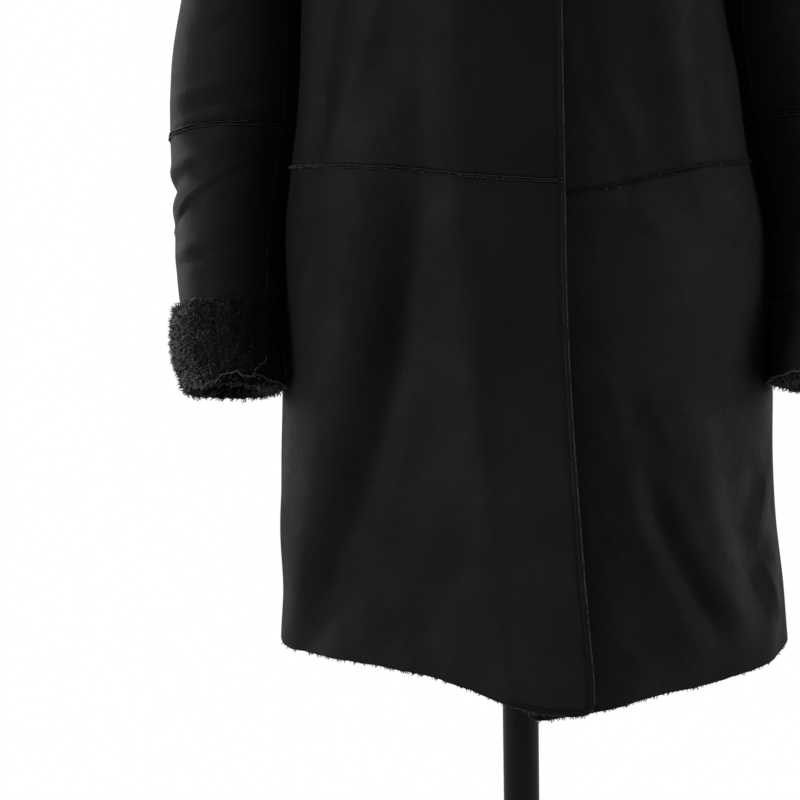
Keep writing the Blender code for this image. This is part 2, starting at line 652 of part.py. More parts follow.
# height across the seam and distance out: a raised seam with a rounded crown
WELT = np.array([
    (-0.0034, 0.0012),
    (-0.0026, 0.0023),
    (0.0000, 0.0032),
    (0.0026, 0.0023),
    (0.0034, 0.0012),
])
# distance in from the edge and distance out: the flat stitched edge band
BAND = np.array([
    (0.0010, 0.0004),
    (0.0014, 0.0013),
    (0.0075, 0.0015),
    (0.0084, 0.0004),
])


def waist_welt(u, v, surface, column, start, end):
    across, out = section(v, WELT)
    angle = start + (end - start) * u
    level = waist_level(angle, column) + across
    return surface(angle, level) + out[:, None] * unit_normal(surface, angle, level)


def right_waist_welt(u, v):
    level = waist_level(9.0, 1)
    edge = front_angle(smooth_rows(FRONT_EDGES, level, 1) - 0.0088, level)
    return waist_welt(u, v, lapped, 1, -89.6, edge)


def forearm_welt(u, v, side):
    across, out = section(v, WELT)
    point, normal = sleeve_piece(u, across / 0.0435, side, SEAM_STATION, SEAM_STATION + 1)
    return point + out[:, None] * normal


def edge_band(u, v):
    """Down the right front's free edge, round the lower corner and along the hem."""
    inset, out = section(v, BAND)
    straight = 0.86
    corner = 0.90
    run = np.clip(u / straight, 0, 1)
    bend = np.clip((u - straight) / (corner - straight), 0, 1) * np.pi / 2
    rest = np.clip((u - corner) / (1 - corner), 0, 1)
    radius = HEM_CORNER - inset
    away = HEM_CORNER - radius * np.cos(bend) + 0.060 * rest
    height = HEM_CORNER - radius * np.sin(bend)
    edge_hem = smooth_rows(HEM, 15.0, 1)
    level = edge_hem + height + (1 - run) * (NECK_LEVEL - 0.004 - edge_hem - HEM_CORNER)
    for _ in range(4):
        x = smooth_rows(FRONT_EDGES, level, 1) - away
        angle = front_angle(x, level)
        lower = smooth_rows(HEM, angle, 1) + height
        level = np.where(run < 1, level, lower)
    return lapped(angle, level) + out[:, None] * unit_normal(lapped, angle, level)


def torso_ring(u, v):
    """Dress form: a body inset from the garment, then a neck."""
    angle = 360.0 * u
    rows = len(TORSO) + len(NECK)
    where = v * (rows - 1)
    body_row = np.clip(where, 0, len(TORSO) - 1)
    index = np.arange(len(TORSO))
    level = np.interp(body_row, index, TORSO[:, 0])
    inset = np.interp(body_row, index, TORSO[:, 1])
    pull = np.interp(body_row, index, TORSO[:, 2])

    def even_ring(a, z):
        return body_ring(a, z, even=True)

    shape = even_ring(angle, level)
    flat = unit_normal(even_ring, angle, level)
    flat[:, 2] = np.where(level < 0.9, 0.0, flat[:, 2])
    s = np.sin(np.radians(angle))
    c = np.cos(np.radians(angle))
    toward = np.stack([s, -c, np.zeros_like(s)], -1)
    shape = shape - inset[:, None] * flat - pull[:, None] * toward
    neck_row = np.clip(where - len(TORSO), 0, len(NECK) - 1)
    half, front, back = (np.interp(neck_row, np.arange(len(NECK)), NECK[:, k]) for k in (1, 2, 3))
    height = np.interp(neck_row, np.arange(len(NECK)), NECK[:, 0])
    neck = np.stack([half * s, -np.where(c > 0, front, back) * c, height], -1)
    return np.where((where > len(TORSO) - 0.5)[:, None], neck, shape)


def lathe(name, profile, segments, colour, roughness):
    """Solid of revolution about the upright axis from radius and height rows."""
    bm = unit_sheet(segments, len(profile) - 1, wrap_u=True)
    bmesh.ops.holes_fill(bm, edges=[e for e in bm.edges if e.is_boundary], sides=segments)
    u, v, _ = vertex_values(bm)
    where = v * (len(profile) - 1)
    index = np.arange(len(profile))
    radius = np.interp(where, index, profile[:, 0])
    height = np.interp(where, index, profile[:, 1])
    turn = 2 * np.pi * u
    points = np.stack([radius * np.cos(turn), radius * np.sin(turn), height], -1)
    return finish(bm, points, name, colour, roughness)


def build():
    for obj in list(bpy.data.objects):
        bpy.data.objects.remove(obj, do_unlink=True)
    collection = bpy.data.collections.new(COLLECTION)
    bpy.context.scene.collection.children.link(collection)

    # fronts: the right one laps over the left
    for name, side, edge, surface in (("right", -1, 1, lapped), ("left", 1, 2, garment)):
        wall_piece(name + "_front_upper", 16, 14,
                   lambda u, v: front_upper(u, v, side, edge, surface, 16))
        wall_piece(name + "_front_skirt", 22, 14,
                   lambda u, v: front_skirt(u, v, side, edge, surface, 22))

    # back
    wall_piece("back_upper", 20, 14, back_upper)
    wall_piece("back_skirt", 28, 11, back_skirt)

    # sleeves in two lengths, with turned-back cuffs
    half_gap = 0.5 * SEAM_GAP / 0.0435
    for name, side in (("right", -1), ("left", 1)):
        wall_piece(name + "_sleeve_upper", 24, 10,
                   lambda u, v: sleeve_piece(u, v, side, 0.0, SEAM_STATION - half_gap), wrap=True)
        wall_piece(name + "_sleeve_lower", 24, 8,
                   lambda u, v: sleeve_piece(u, v, side, SEAM_STATION + half_gap, SLEEVE_END),
                   wrap=True)
        bar_piece(name + "_cuff", 24, len(CUFF), lambda u, v: cuff_ring(u, v, side), wrap=True)
        bar_piece(name + "_forearm_welt", 24, len(WELT),
                  lambda u, v: forearm_welt(u, v, side), wrap=True)

    wall_piece("collar", 24, 9, collar_piece)

    # raised waist seam and the stitched band down the free edge
    bar_piece("right_waist_welt", 24, len(WELT), right_waist_welt)
    bar_piece("left_waist_welt", 18, len(WELT),
              lambda u, v: waist_welt(u, v, garment, 2, 13.8, 89.6))
    bar_piece("back_waist_welt", 26, len(WELT),
              lambda u, v: waist_welt(u, v, garment, 3, 90.4, 269.6))
    bar_piece("front_edge_band", 48, len(BAND), edge_band)

    # dress form
    rows = len(TORSO) + len(NECK) - 1
    bm = unit_sheet(26, rows, wrap_u=True)
    bmesh.ops.holes_fill(bm, edges=[e for e in bm.edges if e.is_boundary], sides=26)
    u, v, _ = vertex_values(bm)
    finish(bm, torso_ring(u, v), "form_torso", (0.030, 0.029, 0.028), 0.8)
    cap = np.array([(0.054, 1.5003), (0.056, 1.503), (0.056, 1.509), (0.050, 1.514), (0.030, 1.518)])
    lathe("form_neck_cap", cap, 24, (0.05, 0.04, 0.035), 0.4)
    pole = np.array([(POLE_RADIUS, BASE_THICKNESS + SEAM_GAP), (POLE_RADIUS, TORSO_BOTTOM - SEAM_GAP)])
    lathe("pole", pole, 32, (0.02, 0.02, 0.02), 0.25)
    base = np.array([
        (BASE_RADIUS, 0.0),
        (BASE_RADIUS, BASE_THICKNESS - 0.003),
        (BASE_RADIUS - 0.003, BASE_THICKNESS),
    ])
    lathe("base_plate", base, 48, (0.02, 0.02, 0.02), 0.3)


build()
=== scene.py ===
# %% [markdown]
# # A shearling coat on a dress form
# The coat is cut from sheepskin that is leather on the outside and curled wool on the inside, so
# one skin is both cloth and lining. It hangs closed, right front over left, on a limbless form.
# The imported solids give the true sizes. Each visible piece is made again here, finer, from the
# same sizes, and stands for its solid.

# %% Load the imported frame
import itertools

import bpy
import numpy as np
from mathutils import Euler, Matrix, Vector


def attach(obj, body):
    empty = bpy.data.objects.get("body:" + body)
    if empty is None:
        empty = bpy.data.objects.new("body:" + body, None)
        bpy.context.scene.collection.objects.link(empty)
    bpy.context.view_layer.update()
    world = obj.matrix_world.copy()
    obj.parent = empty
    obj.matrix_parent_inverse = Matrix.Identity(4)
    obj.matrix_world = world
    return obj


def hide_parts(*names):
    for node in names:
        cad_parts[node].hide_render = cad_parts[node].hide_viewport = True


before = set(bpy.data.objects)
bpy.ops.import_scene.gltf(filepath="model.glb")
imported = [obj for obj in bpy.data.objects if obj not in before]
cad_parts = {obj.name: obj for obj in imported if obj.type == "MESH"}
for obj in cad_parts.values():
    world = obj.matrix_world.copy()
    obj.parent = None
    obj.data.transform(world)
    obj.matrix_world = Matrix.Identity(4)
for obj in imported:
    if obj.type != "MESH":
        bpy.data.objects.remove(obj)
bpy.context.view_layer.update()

# %% [markdown]
# ## The camera
# A long lens about two metres away, as high as the underarms and tipped down, shows the lower
# half of the coat almost without perspective. Its axes are worked out from three turns rather
# than aimed with a constraint, so that the picture's slight lean can be set on its own.

# %% Camera
CAMERA_PLACE = (0.0, -2.1, 1.21)
CAMERA_PITCH, CAMERA_YAW, CAMERA_LEAN = np.radians([-12.1, 3.27, 1.3])
FOCAL_MM = 94.5


def aimed_camera(place, pitch, yaw, lean, focal):
    """Camera whose forward axis has the given pitch and yaw, then rolled about it by lean."""
    forward = Vector((-np.sin(yaw) * np.cos(pitch), np.cos(yaw) * np.cos(pitch), np.sin(pitch)))
    level = forward.cross(Vector((0, 0, 1))).normalized()
    upright = level.cross(forward)
    right = level * np.cos(lean) - upright * np.sin(lean)
    up = upright * np.cos(lean) + level * np.sin(lean)
    data = bpy.data.cameras.new("camera")
    data.lens = focal
    data.sensor_width = 36.0
    camera = bpy.data.objects.new("camera", data)
    bpy.context.scene.collection.objects.link(camera)
    turned = Matrix((right, up, -forward)).transposed().to_4x4()
    camera.matrix_world = Matrix.Translation(place) @ turned
    return camera


bpy.context.scene.camera = aimed_camera(
    CAMERA_PLACE, CAMERA_PITCH, CAMERA_YAW, CAMERA_LEAN, FOCAL_MM)
print("camera at", CAMERA_PLACE, "focal length", FOCAL_MM, "mm")

# %% [markdown]
# ## The garment surface
# Every cloth piece lies on one smooth surface, found from two numbers: the angle round the body,
# 0 at the front and positive to the wearer's left, and the level, which is roughly the height.
# Sculpting could give it too, but tables of measured widths keep every piece in step with the
# solids. Cubic curves through the rows give any level between them.

# %% Sizes shared by all pieces
WALL = 0.0070            # leather and clipped wool together
SEAM_GAP = 0.0003
LAP_LIFT = 0.0086        # right front held out over the left
LAP_RAMP = 0.060         # width over which it climbs
LAP_SHORT = 0.014        # it is fully up this far short of the left front's hidden edge
LAP_SWING = 0.0215       # and further at the free edge of the hem
SWING_WIDTH = 0.130      # width over which it swings out
SWING_TOP = 0.93         # level where the swing starts
SWING_DROP = 0.36        # height over which it grows
SWING_POWER = 1.25       # how late across the width it swings out
HEM_CORNER = 0.012
NECK_LEVEL = 1.430
CHEST_LEVEL = 1.150
UNDERARM_LEVEL = 1.207
SHOULDER_TIP_LEVEL = 1.357
ARMHOLE_MIDDLE = 0.5 * (UNDERARM_LEVEL + SHOULDER_TIP_LEVEL)
ARMHOLE_HALF = 0.5 * (SHOULDER_TIP_LEVEL - UNDERARM_LEVEL)
ARMHOLE_FRONT = 33.0     # degrees the armhole reaches toward the front, and toward the back
ARMHOLE_BACK = 29.0
DEGREE_WIDTH = 0.0035    # metres of cloth for each degree round the body
ARMS = ((-1, "right_"), (1, "left_"))
DOWN = np.array([0.0, 0.0, -1.0])

# level, right half width, left half width, front depth, back depth, front and back squareness
BODY = np.array([
    (0.47, 0.252, 0.281, 0.206, 0.19, -0.18, -0.02),
    (0.514, 0.25, 0.2765, 0.202, 0.186, -0.17, -0.02),
    (0.563, 0.246, 0.272, 0.196, 0.18, -0.14, -0.01),
    (0.636, 0.245, 0.263, 0.186, 0.173, -0.1, 0.0),
    (0.7, 0.2435, 0.259, 0.178, 0.166, -0.07, 0.01),
    (0.77, 0.24, 0.258, 0.169, 0.158, -0.04, 0.02),
    (0.875, 0.237, 0.2545, 0.156, 0.144, 0.0, 0.03),
    (0.936, 0.231, 0.2465, 0.146, 0.13, 0.03, 0.04),
    (1.0, 0.2205, 0.2285, 0.137, 0.116, 0.06, 0.06),
    (1.085, 0.2095, 0.216, 0.134, 0.113, 0.08, 0.08),
    (1.16, 0.207, 0.203, 0.137, 0.118, 0.09, 0.09),
    (1.207, 0.205, 0.2015, 0.139, 0.12, 0.09, 0.1), (1.26, 0.202, 0.2, 0.138, 0.12, 0.08, 0.1),
    (1.31, 0.198, 0.197, 0.13, 0.115, 0.06, 0.09), (1.34, 0.1925, 0.192, 0.12, 0.106, 0.04, 0.07),
    (1.357, 0.186, 0.186, 0.1125, 0.099, 0.02, 0.05),
    (1.375, 0.17, 0.17, 0.1035, 0.0895, 0.0, 0.03), (1.402, 0.125, 0.125, 0.09, 0.075, 0.0, 0.0),
    (1.43, 0.08, 0.08, 0.077, 0.062, 0.0, 0.0),
])
# level, rise of the ring at the sides, front and back
RISE = np.array([
    (0.47, 0.0, 0.0, 0.0), (1.12, 0.0, 0.0, 0.0), (1.165, 0.0, 0.0, 0.0),
    (1.207, 0.001, -0.001, 0.001), (1.26, 0.004, -0.004, 0.002), (1.31, 0.011, -0.012, 0.005),
    (1.34, 0.017, -0.021, 0.008), (1.357, 0.017, -0.027, 0.009), (1.375, 0.01, -0.034, 0.009),
    (1.402, 0.0, -0.046, 0.006), (1.43, -0.01, -0.06, 0.002),
])
# level, x of the right front's free edge, x of the left front's hidden edge
FRONT_EDGES = np.array([
    (0.47, 0.06, 0.008), (0.53, 0.061, 0.006), (0.57, 0.0585, 0.003), (0.62, 0.0555, -0.001),
    (0.69, 0.0525, -0.008), (0.753, 0.05, -0.014), (0.886, 0.0465, -0.026), (0.99, 0.046, -0.031),
    (1.07, 0.045, -0.033), (1.162, 0.044, -0.034), (1.43, 0.043, -0.034),
])
# angle, level of the waist seam on the right front, the left front and the back
WAIST = np.array([
    (-180.0, 0.996, 0.996, 0.996), (-90.0, 0.998, 0.998, 0.998), (-70.0, 1.005, 0.99, 0.998),
    (-50.0, 1.009, 0.985, 0.998), (-26.0, 1.008, 0.984, 0.998), (-12.0, 1.003, 0.984, 0.998),
    (0.0, 0.999, 0.984, 0.998), (12.0, 0.996, 0.985, 0.998), (20.0, 0.996, 0.988, 0.998),
    (36.0, 0.996, 0.998, 0.998), (50.0, 0.996, 1.003, 0.998), (70.0, 0.996, 1.001, 0.998),
    (90.0, 0.998, 0.998, 0.998), (180.0, 0.996, 0.996, 0.996),
])
# angle, level of the hem of the right front, the left front and the back
HEM = np.array([
    (-180.0, 0.511, 0.511, 0.511), (-90.0, 0.509, 0.509, 0.509), (-70.0, 0.512, 0.51, 0.507),
    (-50.0, 0.52, 0.508, 0.509), (-35.0, 0.523, 0.504, 0.509), (-20.0, 0.521, 0.498, 0.509),
    (-10.0, 0.515, 0.493, 0.509), (-3.0, 0.508, 0.49, 0.509), (4.0, 0.501, 0.489, 0.509),
    (13.0, 0.498, 0.491, 0.509), (20.0, 0.498, 0.493, 0.509), (32.0, 0.498, 0.498, 0.509),
    (45.0, 0.5, 0.498, 0.509), (60.0, 0.502, 0.499, 0.508), (75.0, 0.504, 0.503, 0.507),
    (90.0, 0.506, 0.506, 0.506), (180.0, 0.511, 0.511, 0.511),
])
print("garment tables:", len(BODY), "body rows,", len(HEM), "hem rows")

# %% [markdown]
# ## Folds and creases
# Sheepskin is stiff, so it falls in a few long soft troughs and ridges, with small rumples where
# the closing and the seams pull on it. Each is a bell across a bowed line that fades out past its
# ends. A cloth simulation would place them at random, and these have to lie where they do.

# %% Fold tables
# start angle and level, end angle and level, bow, half width, height (below zero is a trough)
FOLDS = np.array([
    (-22.5, 0.98, -67.0, 0.5, 0.026, 0.02, -0.011),
    (-13.0, 0.94, -43.0, 0.53, 0.038, 0.027, 0.0044),
    (-38.0, 1.05, -72.0, 0.51, 0.018, 0.033, 0.0112),
    (-17.5, 0.915, -38.0, 0.5, 0.012, 0.045, -0.0115),
    (-58.0, 0.925, -80.0, 0.585, 0.016, 0.028, 0.007),
    (-25.0, 0.64, -18.5, 0.515, -0.005, 0.013, 0.0019),
    (-26.0, 0.645, -25.0, 0.502, 0.003, 0.017, -0.004),
    (-6.5, 0.64, -8.5, 0.515, 0.003, 0.016, -0.0017),
    (-36.5, 1.16, -55.0, 1.006, 0.002, 0.015, 0.003),
    (-49.0, 1.205, -66.0, 1.0, -0.012, 0.034, -0.011),
    (-26.5, 1.19, -36.0, 1.05, 0.001, 0.02, -0.0022),
    (20.0, 1.088, 28.5, 1.009, 0.008, 0.011, 0.0028),
    (35.0, 1.19, 40.0, 1.05, 0.002, 0.021, 0.0036),
    (50.0, 1.225, 47.0, 0.98, -0.012, 0.03, 0.0085), (16.0, 0.9, 22.0, 0.48, -0.003, 0.03, 0.003),
    (28.0, 0.722, 49.5, 0.54, -0.007, 0.0105, -0.0084),
    (33.7, 0.72, 54.0, 0.556, -0.008, 0.0115, 0.003),
    (25.0, 0.744, 44.0, 0.51, -0.001, 0.02, 0.009), (37.5, 0.812, 60.0, 0.5, -0.012, 0.03, 0.012),
    (80.0, 0.731, 60.0, 0.606, 0.01, 0.01, 0.0022),
    (67.0, 0.706, 57.0, 0.629, 0.007, 0.017, -0.0026),
    (73.5, 0.637, 65.5, 0.49, 0.0, 0.02, 0.006), (45.5, 0.959, 66.0, 0.712, 0.01, 0.032, -0.0022),
    (29.5, 0.685, 39.0, 0.55, -0.002, 0.014, -0.002),
    (-3.5, 0.628, -2.5, 0.5, 0.002, 0.024, 0.0036),
    (104.0, 0.93, 112.0, 0.52, 0.006, 0.024, -0.0066),
    (121.0, 0.9, 134.0, 0.515, 0.0, 0.028, 0.0056),
    (141.0, 0.94, 150.0, 0.54, -0.008, 0.024, -0.0062),
    (163.0, 0.88, 168.0, 0.51, 0.004, 0.028, 0.005),
    (184.0, 0.93, 187.0, 0.56, -0.004, 0.022, -0.007),
    (205.0, 0.9, 203.0, 0.515, 0.0, 0.027, 0.0052),
    (224.0, 0.95, 217.0, 0.53, 0.006, 0.023, -0.006),
    (243.0, 0.88, 236.0, 0.515, 0.0, 0.027, 0.0058),
    (258.0, 0.92, 252.0, 0.55, -0.006, 0.022, -0.0052),
    (115.0, 1.17, 132.0, 1.02, 0.006, 0.018, -0.004),
    (150.0, 1.06, 205.0, 1.045, 0.006, 0.016, -0.003),
    (243.0, 1.18, 226.0, 1.025, -0.006, 0.018, -0.0042),
    (-90.0, 1.17, -92.0, 0.82, 0.0, 0.034, 0.0028), (90.0, 1.17, 92.0, 0.82, 0.0, 0.034, 0.0028),
    (168.0, 1.26, 150.0, 1.12, 0.006, 0.022, -0.0028),
    (192.0, 1.25, 212.0, 1.13, -0.006, 0.022, -0.003),
])
# finer ones: rumples over the hidden fastening, along the seams, and on the hidden sides
CREASES = np.array([
    (-4.6, 1.094, -0.6, 1.06, 0.001, 0.0044, -0.0011),
    (-1.0, 1.102, 2.4, 1.056, 0.001, 0.0066, 0.0009),
    (-7.0, 1.126, 6.5, 1.112, 0.0016, 0.0064, 0.0007),
    (-7.5, 1.114, 5.0, 1.101, 0.0016, 0.006, -0.0006),
    (-2.0, 1.14, 7.0, 1.134, -0.0012, 0.007, 0.0006),
    (-15.0, 1.066, -3.0, 1.049, 0.0014, 0.007, 0.0006),
    (-13.0, 1.052, 3.5, 1.037, -0.0016, 0.0066, -0.0005),
    (1.5, 1.05, 7.5, 1.03, 0.001, 0.0046, 0.001),
    (-21.0, 1.12, -19.5, 1.034, 0.003, 0.01, 0.0011),
    (-30.0, 1.06, -12.0, 1.024, 0.004, 0.009, -0.0008),
    (-12.5, 0.98, -21.0, 0.944, 0.002, 0.008, 0.0009),
    (-9.0, 0.972, -13.5, 0.93, 0.002, 0.009, -0.0007),
    (0.0, 0.965, -3.0, 0.915, -0.002, 0.008, 0.0009),
    (2.5, 0.69, 8.5, 0.612, 0.003, 0.011, 0.001), (-3.0, 0.6, -1.5, 0.535, 0.001, 0.006, -0.0009),
    (3.5, 0.59, 4.5, 0.515, -0.001, 0.007, 0.0008), (-40.0, 0.6, -43.0, 0.535, 0.0, 0.012, 0.001),
    (-50.0, 0.97, -60.0, 0.9, 0.002, 0.012, 0.0012),
    (-68.0, 1.11, -60.0, 1.02, 0.002, 0.008, -0.0014),
    (16.5, 1.15, 18.5, 1.06, 0.002, 0.007, -0.0011),
    (14.5, 1.065, 20.0, 1.02, 0.001, 0.006, 0.001),
    (24.0, 1.01, 26.0, 0.96, 0.001, 0.006, -0.001),
    (26.0, 0.975, 33.0, 0.94, 0.001, 0.007, 0.001),
    (18.5, 0.82, 24.0, 0.745, 0.002, 0.007, 0.0011),
    (16.0, 0.7, 20.0, 0.64, 0.001, 0.006, -0.0008),
    (28.5, 0.8, 36.0, 0.735, -0.002, 0.007, 0.0013),
    (22.0, 0.56, 30.0, 0.52, 0.001, 0.008, 0.0009),
    (66.0, 0.607, 74.0, 0.532, 0.001, 0.006, 0.0021),
    (60.0, 0.6, 66.0, 0.548, 0.001, 0.006, -0.0013),
    (73.0, 0.69, 64.0, 0.634, 0.003, 0.0048, 0.0019),
    (84.0, 0.7, 76.0, 0.65, 0.002, 0.006, -0.0012), (54.0, 0.87, 63.0, 0.79, 0.003, 0.011, 0.001),
    (100.0, 0.985, 112.0, 0.93, 0.002, 0.008, -0.0013),
    (128.0, 1.05, 146.0, 1.025, 0.002, 0.006, 0.0015),
    (134.0, 1.036, 158.0, 1.02, -0.002, 0.006, -0.0013),
    (196.0, 1.028, 222.0, 1.036, 0.002, 0.006, 0.0014),
    (210.0, 1.05, 236.0, 1.064, 0.002, 0.007, -0.0014),
    (172.0, 0.985, 178.0, 0.92, 0.001, 0.008, 0.0012),
    (228.0, 0.985, 238.0, 0.92, 0.001, 0.009, 0.0013),
    (150.0, 0.7, 158.0, 0.6, 0.003, 0.011, 0.0014),
    (196.0, 0.68, 192.0, 0.58, 0.003, 0.011, -0.0014),
    (246.0, 0.69, 250.0, 0.59, 0.003, 0.009, 0.0015),
    (264.0, 0.64, 260.0, 0.56, 0.003, 0.008, -0.0013),
])
print("folds:", len(FOLDS), "long,", len(CREASES), "small")

# %% Surface functions


def smooth_rows(table, level, column):
    """Cubic curve through one column of a table, with slopes taken from the neighbouring rows."""
    x = table[:, 0]
    y = table[:, column]
    slope = np.gradient(y, x)
    level = np.clip(level, x[0], x[-1])
    i = np.clip(np.searchsorted(x, level, side="right") - 1, 0, len(x) - 2)
    h = x[i + 1] - x[i]
    t = (level - x[i]) / h
    a = (1 + 2 * t) * (1 - t) ** 2
    b = t * (1 - t) ** 2
    c = t * t * (3 - 2 * t)
    d = t * t * (t - 1)
    return a * y[i] + b * h * slope[i] + c * y[i + 1] + d * h * slope[i + 1]


def ease(t):
    """Smooth step: 3 t squared minus 2 t cubed, from 0 to 1."""
    t = np.clip(t, 0.0, 1.0)
    return t * t * (3 - 2 * t)


def around(angle):
    """The same angle between -180 and 180."""
    return (angle + 180.0) % 360.0 - 180.0


def unit(vectors):
    """The same directions, each of length 1."""
    return vectors / np.maximum(np.linalg.norm(vectors, axis=-1, keepdims=True), 1e-12)


def sin_cos(degrees):
    """Sine and cosine of an angle in degrees."""
    return np.sin(np.radians(degrees)), np.cos(np.radians(degrees))


def body_ring(angle, level, even=False):
    """Squared-off ellipse: x = half width sin a (1 + q cos2 a), y = -depth cos a (1 + q sin2 a)."""
    s, c = sin_cos(angle)
    right = smooth_rows(BODY, level, 1)
    left = smooth_rows(BODY, level, 2)
    half = 0.5 * (right + left) if even else np.where(s < 0, right, left)
    front = c > 0
    depth = np.where(front, smooth_rows(BODY, level, 3), smooth_rows(BODY, level, 4))
    square = np.where(front, smooth_rows(BODY, level, 5), smooth_rows(BODY, level, 6))
    rise = np.where(front, smooth_rows(RISE, level, 2), smooth_rows(RISE, level, 3))
    x = half * s * (1 + square * c * c)
    y = -depth * c * (1 + square * s * s)
    z = level + smooth_rows(RISE, level, 1) * s * s + rise * c * c
    return np.stack([x, y, z], -1)


def unit_normal(surface, angle, level):
    """Outward direction of a surface of angle and level, from small differences."""
    low = np.clip(level - 0.0015, BODY[0, 0], NECK_LEVEL)
    high = np.clip(level + 0.0015, BODY[0, 0], NECK_LEVEL)
    across = surface(angle + 0.4, level) - surface(angle - 0.4, level)
    return unit(np.cross(across, surface(angle, high) - surface(angle, low)))


def stood_off(surface, angle, level, out):
    """Point of a surface of angle and level, moved out along its normal."""
    return surface(angle, level) + np.asarray(out)[..., None] * unit_normal(surface, angle, level)


def front_angle(x, level):
    """Angle at which the plain surface has this x, near the front."""
    half = np.where(x < 0, smooth_rows(BODY, level, 1), smooth_rows(BODY, level, 2))
    square = smooth_rows(BODY, level, 5)
    s = x / half
    for _ in range(12):
        s = x / (half * (1 + square * (1 - s * s)))
    return np.degrees(np.arcsin(s))


def fold_height(angle, level):
    """Sum of bells across the bowed fold lines, each fading past both its ends."""
    total = np.zeros(np.broadcast(angle, level).shape)
    rows = np.vstack([FOLDS, CREASES])
    for turn in (0.0, 360.0, -360.0):
        for a0, z0, a1, z1, bow, width, height in rows:
            if abs(0.5 * (a0 + a1) - turn - np.mean(angle)) > 60 + np.ptp(angle) / 2:
                continue
            run = np.array([(a1 - a0) * DEGREE_WIDTH, z1 - z0])
            length = np.hypot(*run)
            dx = (angle + turn - a0) * DEGREE_WIDTH
            dz = level - z0
            along = (dx * run[0] + dz * run[1]) / length ** 2
            across = (dz * run[0] - dx * run[1]) / length - bow * 4 * along * (1 - along)
            fade = ease((along + 0.12) / 0.35) * ease((1.12 - along) / 0.35)
            total = total + height * fade * np.exp(-((across / width) ** 2))
    return total


def garment(angle, level):
    """The plain ring moved out by the folds."""
    return stood_off(body_ring, angle, level, fold_height(angle, level))


def lapped(angle, level):
    """The garment surface with the right front climbing smoothly over the left."""
    x = body_ring(angle, level)[..., 0]
    hidden = smooth_rows(FRONT_EDGES, level, 2)
    edge = smooth_rows(FRONT_EDGES, level, 1)
    climb = ease((x - hidden + LAP_RAMP) / (LAP_RAMP - LAP_SHORT))
    swing = np.clip((x - edge + SWING_WIDTH) / SWING_WIDTH, 0, 1) ** SWING_POWER
    swing = swing * ease((SWING_TOP - level) / SWING_DROP)
    lift = np.where(np.cos(np.radians(angle)) > 0, LAP_LIFT * climb + LAP_SWING * swing, 0.0)
    return stood_off(body_ring, angle, level, fold_height(angle, level) + lift)


def waist_level(angle, column):
    """Waist seam: column 1 right front, 2 left front, 3 back."""
    return smooth_rows(WAIST, around(angle), column)


print("front centre at the waist:", garment(np.array([0.0]), np.array([1.0])).round(4).tolist())

# %% [markdown]
# ## Making a mesh from arrays
# Points are worked out as whole arrays and handed to the mesh in one go. A closed piece has its
# signed volume checked: if that is negative the faces look inward, and their order is reversed.

# %% Mesh helpers
def signed_volume(points, triangles):
    """Sum of a . (b x c) / 6 over the triangles: positive when they face outward."""
    a, b, c = (points[triangles[:, k]] for k in range(3))
    return float(np.einsum("ij,ij->i", a, np.cross(b, c)).sum() / 6)


def make_piece(name, points, quads, triangles, materials, quad_slots=0, triangle_slots=0,
               closed=True):
    """Mesh object from points, four-sided faces and triangles, smooth and facing outward."""
    points = np.asarray(points, float).reshape(-1, 3)
    quads = np.asarray(quads, int).reshape(-1, 4)
    triangles = np.asarray(triangles, int).reshape(-1, 3)
    if closed:
        halves = np.vstack([quads[:, [0, 1, 2]], quads[:, [0, 2, 3]], triangles])
        if signed_volume(points - points.mean(0), halves) < 0:
            quads = quads[:, ::-1]
            triangles = triangles[:, ::-1]
    mesh = bpy.data.meshes.new(name)
    mesh.vertices.add(len(points))
    mesh.vertices.foreach_set("co", points.astype(np.float32).ravel())
    corners = np.concatenate([quads.ravel(), triangles.ravel()])
    starts = np.concatenate([np.arange(len(quads)) * 4,
                             4 * len(quads) + np.arange(len(triangles)) * 3])
    mesh.loops.add(len(corners))
    mesh.loops.foreach_set("vertex_index", corners.astype(np.int32))
    mesh.polygons.add(len(starts))
    mesh.polygons.foreach_set("loop_start", starts.astype(np.int32))
    slots = np.concatenate([np.broadcast_to(quad_slots, len(quads)),
                            np.broadcast_to(triangle_slots, len(triangles))])
    mesh.update(calc_edges=True)
    for material in materials:
        mesh.materials.append(material)
    mesh.polygons.foreach_set("material_index", slots.astype(np.int32))
    mesh.polygons.foreach_set("use_smooth", np.ones(len(starts), bool))
    obj = bpy.data.objects.new(name, mesh)
    bpy.context.scene.collection.objects.link(obj)
    return obj


def grid_quads(rows, columns, wrap=False, first=0):
    """Faces of a grid of points stored row by row; wrap joins the last column to the first."""
    i, j = np.meshgrid(np.arange(rows - 1), np.arange(columns if wrap else columns - 1),
                       indexing="ij")
    k = (j + 1) % columns
    faces = np.stack([i * columns + j, i * columns + k, (i + 1) * columns + k,
                      (i + 1) * columns + j], -1)
    return faces.reshape(-1, 4) + first


def end_fans(sides, last, step=1):
    """Triangles closing both ends of a tube.

    last is the number of the far end's first point, and step goes from a point to the next one.
    """
    fan = np.arange(1, sides - 1)
    start = step * np.stack([0 * fan, fan + 1, fan], -1)
    return np.vstack([start, start[:, ::-1] + last])


def tube_points(centre, first, second, radius, sides):
    """Points round a line: centre + radius (cos first + sin second)."""
    facing = (np.arange(sides) * 2 * np.pi / sides)[:, None]
    ring = np.cos(facing) * first[..., None, :] + np.sin(facing) * second[..., None, :]
    return centre[..., None, :] + radius[..., None, None] * ring


def copies(faces, count, size):
    """The same faces again for each of count blocks of size points."""
    return (faces[None] + (np.arange(count) * size)[:, None, None]).reshape(-1, faces.shape[1])


def keep_value(obj, label, values):
    """One number for each point, which a material can read by its label."""
    layer = obj.data.attributes.new(label, "FLOAT", "POINT")
    layer.data.foreach_set("value", values.astype(np.float32).ravel())


